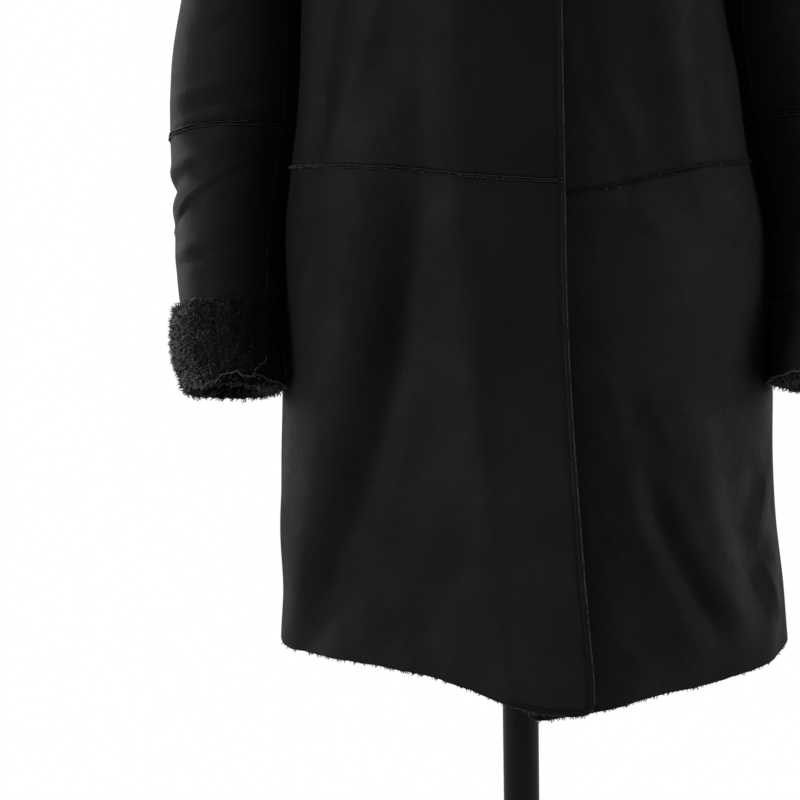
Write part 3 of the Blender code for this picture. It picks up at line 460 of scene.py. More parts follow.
def triangle_count(obj):
    return sum(len(p.vertices) - 2 for p in obj.data.polygons)


def settle(obj, slot, *nodes):
    """The piece moves with the coat and hides the solids it stands for; the slot is not used."""
    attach(obj, "root")
    if nodes:
        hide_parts(*nodes)
    print(obj.name, triangle_count(obj), "triangles")


# %% [markdown]
# ## Uneven wool in numbers
# Curled wool stands in clumps a few millimetres across. The distance to the nearest of a set of
# jittered spots gives such clumps anywhere in space, so no picture or simulation is needed.

# %% Clump helpers
def jitter(corner, seed):
    """Three numbers from 0 to 1 for each lattice corner: the fraction of a large sine."""
    mix = corner @ np.array([[127.1, 269.5, 419.2], [311.7, 183.3, 371.9], [74.7, 246.1, 124.6]])
    return np.modf(np.abs(np.sin(mix + seed)) * 43758.5453)[0]


def clumps(points, size, seed=0.0):
    """1 at the middle of a clump, falling to 0 between clumps: 1 minus the squared distance."""
    where = points / size
    base = np.floor(where)
    nearest = np.full(points.shape[:-1], 9.0)
    for step in itertools.product((-1, 0, 1), repeat=3):
        corner = base + np.array(step)
        gap = np.linalg.norm(corner + jitter(corner, seed) - where, axis=-1)
        nearest = np.minimum(nearest, gap)
    return np.clip(1.0 - nearest ** 2, 0.0, 1.0)


def wander(along, seed, size):
    """Slow uneven wave of a length in metres: three sines whose periods never line up."""
    turn = 2 * np.pi * along / size
    return (np.sin(turn + seed) + 0.6 * np.sin(2.3 * turn + 2.1 * seed)
            + 0.4 * np.sin(4.7 * turn + 3.7 * seed)) / 2.0


sample = np.random.default_rng(1).random((2000, 3)) * 0.1
print("clump spread:", clumps(sample, 0.006).std().round(3))

# %% [markdown]
# ## Effects shared by the finishes
# Leather shows pebbled grain under 1 mm and soft hand-sized mottling; beside the closing edge it is
# made paler and darker as painted light and shade. Wool shows clumps with fibres on them, with
# painted shade between the clumps. Both are built once as node groups that put out a height and a
# tone, and each material feeds them with its own sizes. Image textures would repeat at the seams,
# and object coordinates do not.

# %% Node helpers
def place(tree, kind, sockets=None, **settings):
    """New node with the given settings and values on its named sockets."""
    node = tree.nodes.new(kind)
    for name, value in settings.items():
        setattr(node, name, value)
    for name, value in (sockets or {}).items():
        node.inputs[name].default_value = value
    return node


def join(tree, *pairs):
    """Links given as (from node, output, to node, input)."""
    for source, output, target, entry in pairs:
        tree.links.new(source.outputs[output], target.inputs[entry])


def maths(tree, operation, first, second):
    """Math node; each side is a number or a (node, output) pair."""
    node = place(tree, "ShaderNodeMath", operation=operation)
    for k, side in enumerate((first, second)):
        if isinstance(side, tuple):
            tree.links.new(side[0].outputs[side[1]], node.inputs[k])
        else:
            node.inputs[k].default_value = side
    return node


def remap(tree, source, low, high, to_low, to_high):
    """A (node, output) pair brought from one range to another, as a pair again."""
    node = place(tree, "ShaderNodeMapRange", {"From Min": low, "From Max": high,
                                              "To Min": to_low, "To Max": to_high})
    join(tree, (*source, node, "Value"))
    return node, "Result"


def bumped(tree, height, strength, distance):
    """Bump node fed with a (node, output) pair."""
    node = place(tree, "ShaderNodeBump", {"Strength": strength, "Distance": distance})
    join(tree, (*height, node, "Height"))
    return node


def noise(tree, scale, **more):
    """Noise texture of a scale, with any other sockets by name."""
    return place(tree, "ShaderNodeTexNoise", {"Scale": scale, **more})


def new_group(name, inputs, outputs):
    """Empty shader group with float or vector sockets."""
    tree = bpy.data.node_groups.new(name, "ShaderNodeTree")
    for socket, kind, value in inputs:
        made = tree.interface.new_socket(socket, in_out="INPUT", socket_type=kind)
        if value is not None:
            made.default_value = value
    for socket in outputs:
        tree.interface.new_socket(socket, in_out="OUTPUT", socket_type="NodeSocketFloat")
    return tree, place(tree, "NodeGroupInput"), place(tree, "NodeGroupOutput")


# %% Leather grain group
def leather_grain_group():
    """Height: pebbles between fine cracks, plus soft wrinkles.  Tone: mottling around 1."""
    tree, start, end = new_group(
        "leather grain",
        [("Place", "NodeSocketVector", None), ("Pebbles", "NodeSocketFloat", 620.0),
         ("Wrinkles", "NodeSocketFloat", 60.0)],
        ["Height", "Wrinkle height", "Tone"])
    pebble = place(tree, "ShaderNodeTexVoronoi", feature="DISTANCE_TO_EDGE")
    fine = noise(tree, 1.0, Detail=4.0, Roughness=0.6)
    wrinkle = noise(tree, 1.0, Detail=4.0, Roughness=0.55, Distortion=0.6)
    patch = noise(tree, 16.0, Detail=3.0, Roughness=0.6)
    speck = noise(tree, 190.0, Detail=2.0)
    double = maths(tree, "MULTIPLY", (start, "Pebbles"), 2.2)
    join(tree, (start, "Place", pebble, "Vector"), (start, "Pebbles", pebble, "Scale"),
         (start, "Place", fine, "Vector"), (double, 0, fine, "Scale"),
         (start, "Place", wrinkle, "Vector"), (start, "Wrinkles", wrinkle, "Scale"),
         (start, "Place", patch, "Vector"), (start, "Place", speck, "Vector"))
    raised = place(tree, "ShaderNodeMapRange", {"From Max": 0.25}, interpolation_type="SMOOTHSTEP")
    join(tree, (pebble, "Distance", raised, "Value"))
    height = maths(tree, "ADD", (raised, "Result"), (maths(tree, "MULTIPLY", (fine, 0), 0.6), 0))
    tone = maths(tree, "MULTIPLY", remap(tree, (patch, 0), 0.3, 0.7, 0.78, 1.22),
                 remap(tree, (speck, 0), 0.3, 0.7, 0.93, 1.07))
    join(tree, (height, 0, end, "Height"), (wrinkle, 0, end, "Wrinkle height"),
         (tone, 0, end, "Tone"))
    return tree


GRAIN = leather_grain_group()
print("group:", GRAIN.name)

# %% Wool clump group
def wool_clump_group():
    """Height: rounded clumps with fibres running over them.  Tone: painted shade, dark between the
    clumps.
    """
    tree, start, end = new_group(
        "wool clumps and painted shade",
        [("Place", "NodeSocketVector", None), ("Clumps", "NodeSocketFloat", 190.0)],
        ["Height", "Tone"])
    bend = noise(tree, 140.0, Detail=3.0)
    mix = place(tree, "ShaderNodeMix", {"Factor": 0.006}, data_type="VECTOR")
    lump = place(tree, "ShaderNodeTexVoronoi", feature="SMOOTH_F1")
    fibre = noise(tree, 900.0, Detail=3.0, Distortion=1.2)
    join(tree, (start, "Place", bend, "Vector"), (start, "Place", mix, "A"),
         (bend, "Color", mix, "B"), (mix, "Result", lump, "Vector"),
         (start, "Clumps", lump, "Scale"), (start, "Place", fibre, "Vector"))
    raised = maths(tree, "SUBTRACT", 1.0, (lump, "Distance"))
    height = maths(tree, "ADD", (raised, 0), (maths(tree, "MULTIPLY", (fibre, 0), 0.35), 0))
    # painted shade: the tone is darker on the low ground between clumps
    tone = remap(tree, (raised, 0), 0.35, 1.0, 0.35, 1.3)
    join(tree, (height, 0, end, "Height"), (*tone, end, "Tone"))
    return tree


WOOL = wool_clump_group()
print("group:", WOOL.name)

# %% [markdown]
# ## Leather, cut edge and thread
# The leather is a matte black nappa, faintly green where light catches it. Its cut edge was
# never dyed through, so it reads as a thin grey line. Fully matte leather would look like paper:
# the low gloss comes from a middling roughness that the grain breaks up.

# %% Leather materials
def tinted(tree, tone, colour, shader):
    """Base colour: a colour times a tone value, by a mix that multiplies."""
    node = place(tree, "ShaderNodeMix", {"Factor": 1.0}, data_type="RGBA", blend_type="MULTIPLY")
    node.inputs["A"].default_value = (*colour, 1.0)
    grey = place(tree, "ShaderNodeCombineColor")
    join(tree, (*tone, grey, "Red"), (*tone, grey, "Green"), (*tone, grey, "Blue"),
         (grey, "Color", node, "B"), (node, "Result", shader, "Base Color"))
    return node


def new_material(name, **sockets):
    """Principled material with plain values on its own sockets."""
    material = bpy.data.materials.new(name)
    material.use_nodes = True
    shader = material.node_tree.nodes["Principled BSDF"]
    for socket, value in sockets.items():
        shader.inputs[socket.replace("_", " ")].default_value = value
    return material, material.node_tree, shader


def leather(name, colour, roughness, pebbles=620.0, wrinkles=40.0, grain=0.00022, crease=0.0020):
    """Leather whose bump is the grain over the wrinkles, in metres of depth."""
    material, tree, shader = new_material(name)
    place_in = place(tree, "ShaderNodeTexCoord")
    skin = place(tree, "ShaderNodeGroup", node_tree=GRAIN)
    skin.inputs["Pebbles"].default_value = pebbles
    skin.inputs["Wrinkles"].default_value = wrinkles
    soft = bumped(tree, (skin, "Wrinkle height"), 0.5, crease)
    sharp = bumped(tree, (skin, "Height"), 0.55, grain)
    # painted light and shade: where the value is above zero the leather is paler and glossier,
    # where it is below zero darker and duller
    painted_light_and_shade = place(tree, "ShaderNodeAttribute", attribute_name="painted_light_and_shade")
    gain = maths(tree, "ADD", (maths(tree, "MULTIPLY", (painted_light_and_shade, "Fac"), PAINTED_LIGHT_GAIN), 0), 1.0)
    gloss = maths(tree, "MULTIPLY", (gain, 0), LEATHER_GLOSS)
    tinted(tree, (maths(tree, "MULTIPLY", (skin, "Tone"), (gain, 0)), 0), colour, shader)
    rough = remap(tree, (skin, "Tone"), 0.8, 1.2, roughness + 0.05, roughness - 0.05)
    join(tree, (place_in, "Object", skin, "Place"), (soft, "Normal", sharp, "Normal"),
         (sharp, "Normal", shader, "Normal"), (gloss, 0, shader, "Specular IOR Level"),
         (*rough, shader, "Roughness"))
    return material


LEATHER_GLOSS = 0.22
PAINTED_LIGHT_GAIN = 0.48       # how much paler the painted light makes the leather, and how much darker the painted shade
nappa = leather("black nappa", (0.0120, 0.0143, 0.0136), 0.64)
seam_nappa = leather("seam nappa", (0.0115, 0.0122, 0.0120), 0.50, 700.0, 120.0, 0.0002, 0.0005)
seam_edge = leather("seam lip", (0.050, 0.053, 0.053), 0.60, 1500.0, 300.0, 0.0003, 0.0006)
cut_edge = leather("cut leather edge", (0.066, 0.070, 0.068), 0.72, 1500.0, 300.0, 0.0003, 0.0004)
# paler than the cut edge elsewhere: the edge's own grey with a painted highlight on it
band_edge_and_highlight = leather("band edge with painted highlight", (0.092, 0.099, 0.096), 0.62, 1500.0, 300.0, 0.0003, 0.0004)
# far paler than the other cut edges: the edge's own grey with a painted highlight on it
lip_edge_and_highlight = leather("pale lip with painted highlight", (0.200, 0.196, 0.186), 0.70, 1500.0, 300.0, 0.0003, 0.0004)
thread = leather("waxed thread", (0.020, 0.021, 0.021), 0.42, 2600.0, 900.0, 0.0001, 0.0001)
print("leather finishes:", nappa.name, seam_nappa.name, seam_edge.name, cut_edge.name, thread.name)

# %% [markdown]
# ## Wool
# Two finishes: the clipped wool inside the coat, whose clumps are bump with painted shade between
# them, and the standing curls of cuffs and collar, which are real strands. A curl is darkest at its
# root, and each lock has its own shade, with painted shade added where the wool is pressed flat, so
# both are kept as values on the strand's points.

# %% Wool materials
def clipped_wool(name, colour, depth=0.0016, size=190.0, sheen=0.25):
    """Short dense pile: clumps with fibres over them as bump, and painted shade between the clumps.
    """
    material, tree, shader = new_material(
        name, Roughness=0.85, Specular_IOR_Level=0.2, Sheen_Weight=sheen, Sheen_Roughness=0.5,
        Sheen_Tint=(0.5, 0.48, 0.46, 1.0))
    place_in = place(tree, "ShaderNodeTexCoord")
    pile = place(tree, "ShaderNodeGroup", node_tree=WOOL)
    pile.inputs["Clumps"].default_value = size
    bump = bumped(tree, (pile, "Height"), 0.9, depth)
    tinted(tree, (pile, "Tone"), colour, shader)
    join(tree, (place_in, "Object", pile, "Place"), (bump, "Normal", shader, "Normal"))
    return material


def curled_wool(name, root, tip):
    """Strand finish: the colour runs from root to tip, times the lock's own shade."""
    material, tree, shader = new_material(
        name, Roughness=0.40, Specular_IOR_Level=0.7, Sheen_Weight=0.9, Sheen_Roughness=0.4,
        Sheen_Tint=(0.7, 0.69, 0.67, 1.0))
    reach = place(tree, "ShaderNodeAttribute", attribute_name="reach")
    shade = place(tree, "ShaderNodeAttribute", attribute_name="shade")
    blend = place(tree, "ShaderNodeMix", data_type="RGBA")
    blend.inputs["A"].default_value = (*root, 1.0)
    blend.inputs["B"].default_value = (*tip, 1.0)
    # the link from the blend takes the place of the plain root colour
    tint = tinted(tree, (shade, "Fac"), root, shader)
    join(tree, (reach, "Fac", blend, "Factor"), (blend, "Result", tint, "A"))
    # sheen and gloss follow the shade value, so the painted shade on wool pressed flat dims them
    # too
    for socket, share in (("Sheen Weight", 0.8), ("Specular IOR Level", 0.6)):
        glow = maths(tree, "MINIMUM", (maths(tree, "MULTIPLY", (shade, "Fac"), share), 0), 1.0)
        join(tree, (glow, 0, shader, socket))
    return material


inner_wool = clipped_wool("clipped wool", (0.024, 0.021, 0.019))
wool_bed = clipped_wool("wool bed", (0.014, 0.0132, 0.0126), 0.0022, 260.0)
# darker and with less sheen than the other wool: painted shade down in the seams' groove
groove_wool = clipped_wool("groove wool", (0.0060, 0.0066, 0.0066), 0.0022, 260.0, 0.04)
wool_curls = curled_wool("wool curls", (0.008, 0.0078, 0.0075), (0.180, 0.177, 0.172))
print("wool finishes:", inner_wool.name, wool_bed.name, wool_curls.name)

# %% [markdown]
# ## Jersey, lacquer and paint
# The form's cover is knitted jersey, whose rows are far too fine to model: a wave in two
# directions gives its bump. The cap is lacquered wood and the stand satin paint, so both need a
# coat over a dark base, uneven enough that the gloss isn't perfect.

# %% Form and stand materials
def jersey_cover():
    """Knit bump: product of two fine waves, one round the form and one up it."""
    material, tree, shader = new_material("black jersey", Roughness=0.9, Specular_IOR_Level=0.2,
                                          Sheen_Weight=0.4, Sheen_Roughness=0.5)
    place_in = place(tree, "ShaderNodeTexCoord")
    up = place(tree, "ShaderNodeTexWave", {"Scale": 240.0, "Distortion": 0.4, "Detail": 2.0},
               bands_direction="Z")
    side = place(tree, "ShaderNodeTexWave", {"Scale": 200.0, "Distortion": 0.4, "Detail": 2.0},
                 bands_direction="X")
    knit = maths(tree, "MULTIPLY", (up, "Fac"), (side, "Fac"))
    bump = bumped(tree, (knit, 0), 0.5, 0.0004)
    lint = noise(tree, 60.0, Detail=4.0)
    tinted(tree, remap(tree, (lint, 0), 0.3, 0.7, 0.75, 1.25), (0.022, 0.021, 0.0205), shader)
    for kind in (up, side, lint):
        join(tree, (place_in, "Object", kind, "Vector"))
    join(tree, (bump, "Normal", shader, "Normal"))
    return material


def coated(name, colour, roughness, coat, speck, gloss):
    """Dark base under a clear coat, with faint waviness and smudges."""
    material, tree, shader = new_material(name, Coat_Weight=coat, Coat_Roughness=0.22,
                                          Specular_IOR_Level=gloss)
    place_in = place(tree, "ShaderNodeTexCoord")
    wave = noise(tree, speck, Detail=3.0)
    smudge = noise(tree, 22.0, Detail=5.0, Roughness=0.6)
    bump = bumped(tree, (wave, 0), 0.35, 0.00012)
    rough = remap(tree, (smudge, 0), 0.3, 0.7, roughness - 0.06, roughness + 0.08)
    tinted(tree, remap(tree, (smudge, 0), 0.3, 0.7, 0.9, 1.1), colour, shader)
    join(tree, (place_in, "Object", wave, "Vector"), (place_in, "Object", smudge, "Vector"),
         (*rough, shader, "Roughness"), (bump, "Normal", shader, "Normal"))
    return material


jersey = jersey_cover()
lacquer = coated("black lacquer", (0.012, 0.011, 0.011), 0.32, 0.6, 40.0, 0.5)
satin_paint = coated("satin black paint", (0.0045, 0.0044, 0.0042), 0.26, 0.08, 160.0, 0.32)
print("form and stand finishes:", jersey.name, lacquer.name, satin_paint.name)

# %% [markdown]
# ## Panels
# A panel is its outer leather face on a fine grid, a rim round its edge and a wool face inside.
# The rim steps in from the leather's cut edge, which is about a millimetre thick, to the wool
# behind it. The wool face needs only every second point. Where an edge is free, at a hem or a
# front edge, the wool swells a little past the leather.

# %% Panel wall
# depth below the leather face, reach past the edge
RIM = np.array([
    (0.0003, 0.00022), (0.0012, 0.00022), (0.0017, -0.0005), (0.0034, 0.0007), (0.0055, 0.0005),
])
LEATHER_RIMS = 2         # strips of the rim that are cut leather
WOOL_RISE = 0.0011       # how deep the wool face is clumped
WOOL_PULL = 0.0012       # how far its edge is drawn in from the rim


def border_rings(rows, columns, wrap):
    """Edge points as (row, column) lists in order round the piece."""
    if wrap:
        j = np.arange(columns)
        return [np.stack([0 * j, j], -1), np.stack([0 * j + rows - 1, j[::-1]], -1)]
    up = np.arange(rows)
    across = np.arange(columns)
    ring = np.vstack([
        np.stack([0 * across, across], -1)[:-1],
        np.stack([up, 0 * up + columns - 1], -1)[:-1],
        np.stack([0 * across + rows - 1, across[::-1]], -1)[:-1],
        np.stack([up[::-1], 0 * up], -1)[:-1],
    ])
    return [ring]


def grid_normals(grid, wrap):
    """Unit cross product of the differences along the columns and the rows."""
    if wrap:
        across = np.roll(grid, -1, 1) - np.roll(grid, 1, 1)
    else:
        across = np.gradient(grid, axis=1)
    return unit(np.cross(across, np.gradient(grid, axis=0)))


def wall_sheet(name, grid, inside, free, wrap=False, materials=None, wall=WALL):
    """Closed wall under a grid of leather points; returns the object and its free edges.

    inside is a point on the wool side for each row, and free gives 0 to 1 along the bottom,
    right, top and left edges.
    """
    rows, columns = grid.shape[:2]
    normal = grid_normals(grid, wrap)
    outward = np.sign(np.sum(normal * (grid - inside)))
    normal = normal * outward
    points = [grid.reshape(-1, 3)]
    quads = [grid_quads(rows, columns, wrap)]
    triangles = []
    slots = [np.zeros(len(quads[0]), int)]
    count = rows * columns
    wool = grid[::2, ::2] - wall * normal[::2, ::2]
    wool = wool + WOOL_RISE * (1 - clumps(wool, 0.0085))[..., None] * normal[::2, ::2]
    wool_rows, wool_columns = wool.shape[:2]
    rings = border_rings(rows, columns, wrap)
    wool_first = count + sum(len(r) for r in rings) * len(RIM)
    edges = []
    for ring in rings:
        i, j = ring.T
        inner_i = np.clip(i, 1, rows - 2)
        inner_j = j if wrap else np.clip(j, 1, columns - 2)
        edge = grid[i, j]
        face = normal[i, j]
        out = edge - grid[inner_i, inner_j]
        out = unit(out - np.sum(out * face, -1, keepdims=True) * face)
        if wrap:
            swell = np.full(len(i), free[0] if i[0] == 0 else free[2])
        else:
            swell = np.max([free[0] * (i == 0), free[1] * (j == columns - 1),
                            free[2] * (i == rows - 1), free[3] * (j == 0)], axis=0)
        edges.append((edge, face, out, swell))
        before = i * columns + j
        fluff = 0.5 + clumps(edge, 0.0055, 3.0)
        for k, (depth, reach) in enumerate(RIM):
            past = reach * swell * (1.0 if k < LEATHER_RIMS else fluff)
            points.append(edge - depth * face + past[:, None] * out)
            now = count + np.arange(len(i))
            quads.append(np.stack([np.roll(before, -1), before, now, np.roll(now, -1)], -1))
            slots.append(np.full(len(i), 1 if k < LEATHER_RIMS else 2))
            before = now
            count += len(i)
        skip = int(wrap and i[0] > 0)
        before = np.roll(before, -skip)
        at = (i[skip::2] // 2) * wool_columns + (j[skip::2] // 2) % wool_columns
        a, b, c = before[::2], before[1::2], np.roll(before[::2], -1)
        p = wool_first + at
        q = np.roll(p, -1)
        triangles += [np.stack([b, a, p], -1), np.stack([b, p, q], -1), np.stack([c, b, q], -1)]
        flat = wool.reshape(-1, 3)
        flat[at] = flat[at] - WOOL_PULL * out[skip::2]
        wool = flat.reshape(wool_rows, wool_columns, 3)
    points.append(wool.reshape(-1, 3))
    inner = grid_quads(wool_rows, wool_columns, wrap, wool_first)[:, ::-1]
    quads.append(inner)
    slots.append(np.full(len(inner), 2))
    obj = make_piece(name, np.vstack(points), np.vstack(quads), np.vstack(triangles),
                     materials or [nappa, cut_edge, inner_wool], np.concatenate(slots), 2)
    return obj, edges


def spread(columns, rows):
    """The two parameters of a grid, each from 0 to 1."""
    return np.meshgrid(np.linspace(0, 1, columns), np.linspace(0, 1, rows))


def measured(grid, wrap=False):
    """Longest width, longest length and area of a surface grid, in metres."""
    closed = np.concatenate([grid, grid[:, :1]], 1) if wrap else grid
    width = np.linalg.norm(np.diff(closed, axis=1), axis=-1).sum(1).max()
    length = np.linalg.norm(np.diff(closed, axis=0), axis=-1).sum(0).max()
    across = np.diff(closed, axis=1)[:-1]
    up = np.diff(closed, axis=0)[:, :-1]
    return width, length, np.linalg.norm(np.cross(across, up), axis=-1).sum()


# %% Panel shapes
COARSE_COLUMNS = 22.0    # the last two of these hold the rounded corner
# rows of the upper panels, bottom to top; those below the chest follow the waist seam
UPPER_ROWS = np.array([1.000, 1.045, 1.095, 1.145, 1.180, 1.207, 1.217, 1.2445, 1.282, 1.3195,
                       1.347, 1.357, 1.376, 1.402, 1.430])


def armhole_bite(level, reach):
    """Degrees cut away by the armhole: half an ellipse between underarm and shoulder tip."""
    return reach * np.sqrt(np.clip(1 - ((level - ARMHOLE_MIDDLE) / ARMHOLE_HALF) ** 2, 0, None))


def seam_degrees(level):
    """Half a seam gap at the side, in degrees."""
    return np.degrees(0.6 * SEAM_GAP / np.minimum(smooth_rows(BODY, level, 4), 0.18))


def upper_level(angle, v, column):
    """Level of the row v of an upper panel, stretched down to the waist seam."""
    row = np.interp(v * (len(UPPER_ROWS) - 1), np.arange(len(UPPER_ROWS)), UPPER_ROWS)
    waist = waist_level(angle, column) + 0.5 * SEAM_GAP
    low = waist + (row - UPPER_ROWS[0]) * (CHEST_LEVEL - waist) / (CHEST_LEVEL - UPPER_ROWS[0])
    return np.where(row < CHEST_LEVEL, low, row)


def front_span(u, level, side, edge_column, bite):
    """Angle from the side seam (u = 0) to the free edge (u = 1), closer set at the corner."""
    seam = side * (90.0 - seam_degrees(level) - bite)
    x = smooth_rows(FRONT_EDGES, level, edge_column)
    corner = front_angle(x + side * HEM_CORNER, level)
    turn = front_angle(x + side * 0.4 * HEM_CORNER, level)
    edge = front_angle(x, level)
    column = u * COARSE_COLUMNS
    even = np.clip(column / (COARSE_COLUMNS - 2), 0, 1)
    near = np.clip(column - (COARSE_COLUMNS - 2), 0, 1)
    last = np.clip(column - (COARSE_COLUMNS - 1), 0, 1)
    return seam + (corner - seam) * even + (turn - corner) * near + (edge - turn) * last


def hem_level(angle, column, edge_distance):
    """Hem with a rounded corner by the free edge, wandering by half a millimetre."""
    hem = smooth_rows(HEM, around(angle), column)
    hem = hem + 0.0006 * wander(angle * DEGREE_WIDTH, 1.3 + column, 0.071)
    reach = np.clip(HEM_CORNER - edge_distance, 0, HEM_CORNER)
    return hem + HEM_CORNER - np.sqrt(HEM_CORNER ** 2 - reach ** 2)


def front_upper(u, v, side, column, surface):
    """Front from the waist seam to the neck, cut away at the armhole."""
    angle = side * 45.0 * np.ones_like(u)
    for _ in range(4):
        level = upper_level(angle, v, column)
        angle = front_span(u, level, side, column, armhole_bite(level, ARMHOLE_FRONT))
    return surface(angle, level)


def front_skirt(u, v, side, column, surface):
    """Front from the hem to the waist seam."""
    level = 0.75 * np.ones_like(u)
    for _ in range(5):
        angle = front_span(u, level, side, column, 0.0)
        edge = smooth_rows(FRONT_EDGES, level, column)
        edge_distance = np.abs(edge - body_ring(angle, level)[..., 0])
        hem = hem_level(angle, column, edge_distance)
        top = waist_level(angle, column) - 0.5 * SEAM_GAP
        level = hem + (top - hem) * v ** 1.05
    return surface(angle, level)


def back_upper(u, v):
    """Back from the waist seam to the neck, cut away at both armholes."""
    angle = 90.0 + 180.0 * u
    for _ in range(4):
        level = upper_level(angle, v, 3)
        margin = seam_degrees(level) + armhole_bite(level, ARMHOLE_BACK)
        angle = 90.0 + margin + (180.0 - 2 * margin) * u
    return garment(angle, level)


def back_skirt(u, v):
    """Back from the hem to the waist seam."""
    margin = seam_degrees(0.75)
    angle = 90.0 + margin + (180.0 - 2 * margin) * u
    hem = smooth_rows(HEM, around(angle), 3) + 0.0006 * wander(angle * DEGREE_WIDTH, 2.1, 0.083)
    level = hem + (waist_level(angle, 3) - 0.5 * SEAM_GAP - hem) * v
    return garment(angle, level)


# %% Cut and hang the panels
# name: shape, columns, rows, free edges (bottom, right, top, left)
PANELS = {
    "right_front_upper": (lambda u, v: front_upper(u, v, -1, 1, lapped), 89, 113, (0, 1, 0, 0)),
    "left_front_upper": (lambda u, v: front_upper(u, v, 1, 2, garment), 77, 97, (0, 1, 0, 0)),
    "right_front_skirt": (lambda u, v: front_skirt(u, v, -1, 1, lapped), 111, 133, (1, 1, 0, 0)),
    "left_front_skirt": (lambda u, v: front_skirt(u, v, 1, 2, garment), 111, 133, (1, 1, 0, 0)),
    "back_upper": (back_upper, 121, 89, (0, 0, 0, 0)),
    "back_skirt": (back_skirt, 161, 101, (1, 0, 0, 0)),
}
# leather beside the closing edge is made paler on the right front as painted light, and darker on
# the left front as painted shade: where that starts, measured across from the edge, the width it
# grows over, and how much it is
PAINTED_EDGE_LIGHT_AND_SHADE = {
    "right_front_skirt": (-0.082, 0.024, 0.72),
    "left_front_skirt": (0.075, -0.070, -0.42),
}


def paint_edge_light_and_shade(obj, start, blend, amount):
    """Keep the painted light and shade of each point, by its distance across from the closing edge.
    """
    at = np.empty(3 * len(obj.data.vertices), np.float32)
    obj.data.vertices.foreach_get("co", at)
    at = at.reshape(-1, 3).astype(float)
    past = at[:, 0] - smooth_rows(FRONT_EDGES, at[:, 2], 1)
    keep_value(obj, "painted_light_and_shade",
               amount * ease((past - start) / blend) * ease((0.95 - at[:, 2]) / 0.30))


free_edges = {}
for panel, (shape, columns, rows, free) in PANELS.items():
    grid = shape(*spread(columns, rows))
    axis = np.zeros_like(grid)
    axis[..., 2] = grid[..., 2]
    sheet, free_edges[panel] = wall_sheet(panel + "_skin", grid, axis, free)
    settle(sheet, "coat_leather", panel)
    # painted light on the right front beside the closing edge, painted shade on the left front
    if panel in PAINTED_EDGE_LIGHT_AND_SHADE:
        paint_edge_light_and_shade(sheet, *PAINTED_EDGE_LIGHT_AND_SHADE[panel])
    print(panel, "width, length, area:", np.round(measured(grid), 4).tolist())

# %% [markdown]
# ## Sleeves
# A sleeve is a row of tilted rings down the arm, in two lengths joined at the forearm seam. Its
# creases run across it, deepest at the bend of the elbow, and slant as real ones do.

# %% Sleeve tables
# station, inner x and height, outer x and height, centre y, half depth, forward tilt
ARM = np.array([
    (0, 0.2053, 1.207, 0.186, 1.373, -0.008, 0.071, 0),
    (1, 0.2068, 1.2, 0.222, 1.366, -0.003, 0.07, 0),
    (2, 0.2082, 1.192, 0.256, 1.344, 0.002, 0.069, 0),
    (3, 0.2095, 1.183, 0.286, 1.301, 0.008, 0.0675, 0),
    (4, 0.2105, 1.173, 0.313, 1.24, 0.016, 0.066, 0),
    (5, 0.2105, 1.16, 0.3295, 1.17, 0.024, 0.065, 2),
    (6, 0.2095, 1.115, 0.342, 1.118, 0.032, 0.064, 6),
    (7, 0.212, 1.072, 0.3485, 1.069, 0.038, 0.0625, 13),
    (8, 0.2165, 1.026, 0.351, 1.024, 0.042, 0.061, 20),
    (9, 0.2245, 0.985, 0.3485, 0.984, 0.0265, 0.06, 22),
    (10, 0.2312, 0.945, 0.3445, 0.944, 0.0105, 0.058, 22),
    (11, 0.2356, 0.91, 0.3435, 0.909, -0.005, 0.0565, 22),
    (12, 0.2385, 0.872, 0.339, 0.871, -0.021, 0.054, 21),
    (13, 0.2478, 0.842, 0.3335, 0.841, -0.034, 0.047, 20),
    (14, 0.2475, 0.815, 0.331, 0.814, -0.045, 0.046, 21),
    (15, 0.246, 0.797, 0.3255, 0.796, -0.0525, 0.045, 22),
    (16, 0.2445, 0.783, 0.323, 0.782, -0.0585, 0.0445, 22),
])
SEAM_STATION = 8.0
SEAM_HALF = 0.0035       # half the gap at the forearm seam, in stations
SLEEVE_END = 14.9
ARMHOLE_STEP = 30.0      # degrees round the arm from one row of the armhole to the next
ARMHOLE_FIT = 0.98       # size of the sleeve head as a share of the armhole's
ARMHOLE_TUCK = 0.0035    # how deep it lies under the panels
LEFT_ARM_SHIFT = 0.0205  # the left forearm hangs this much further out
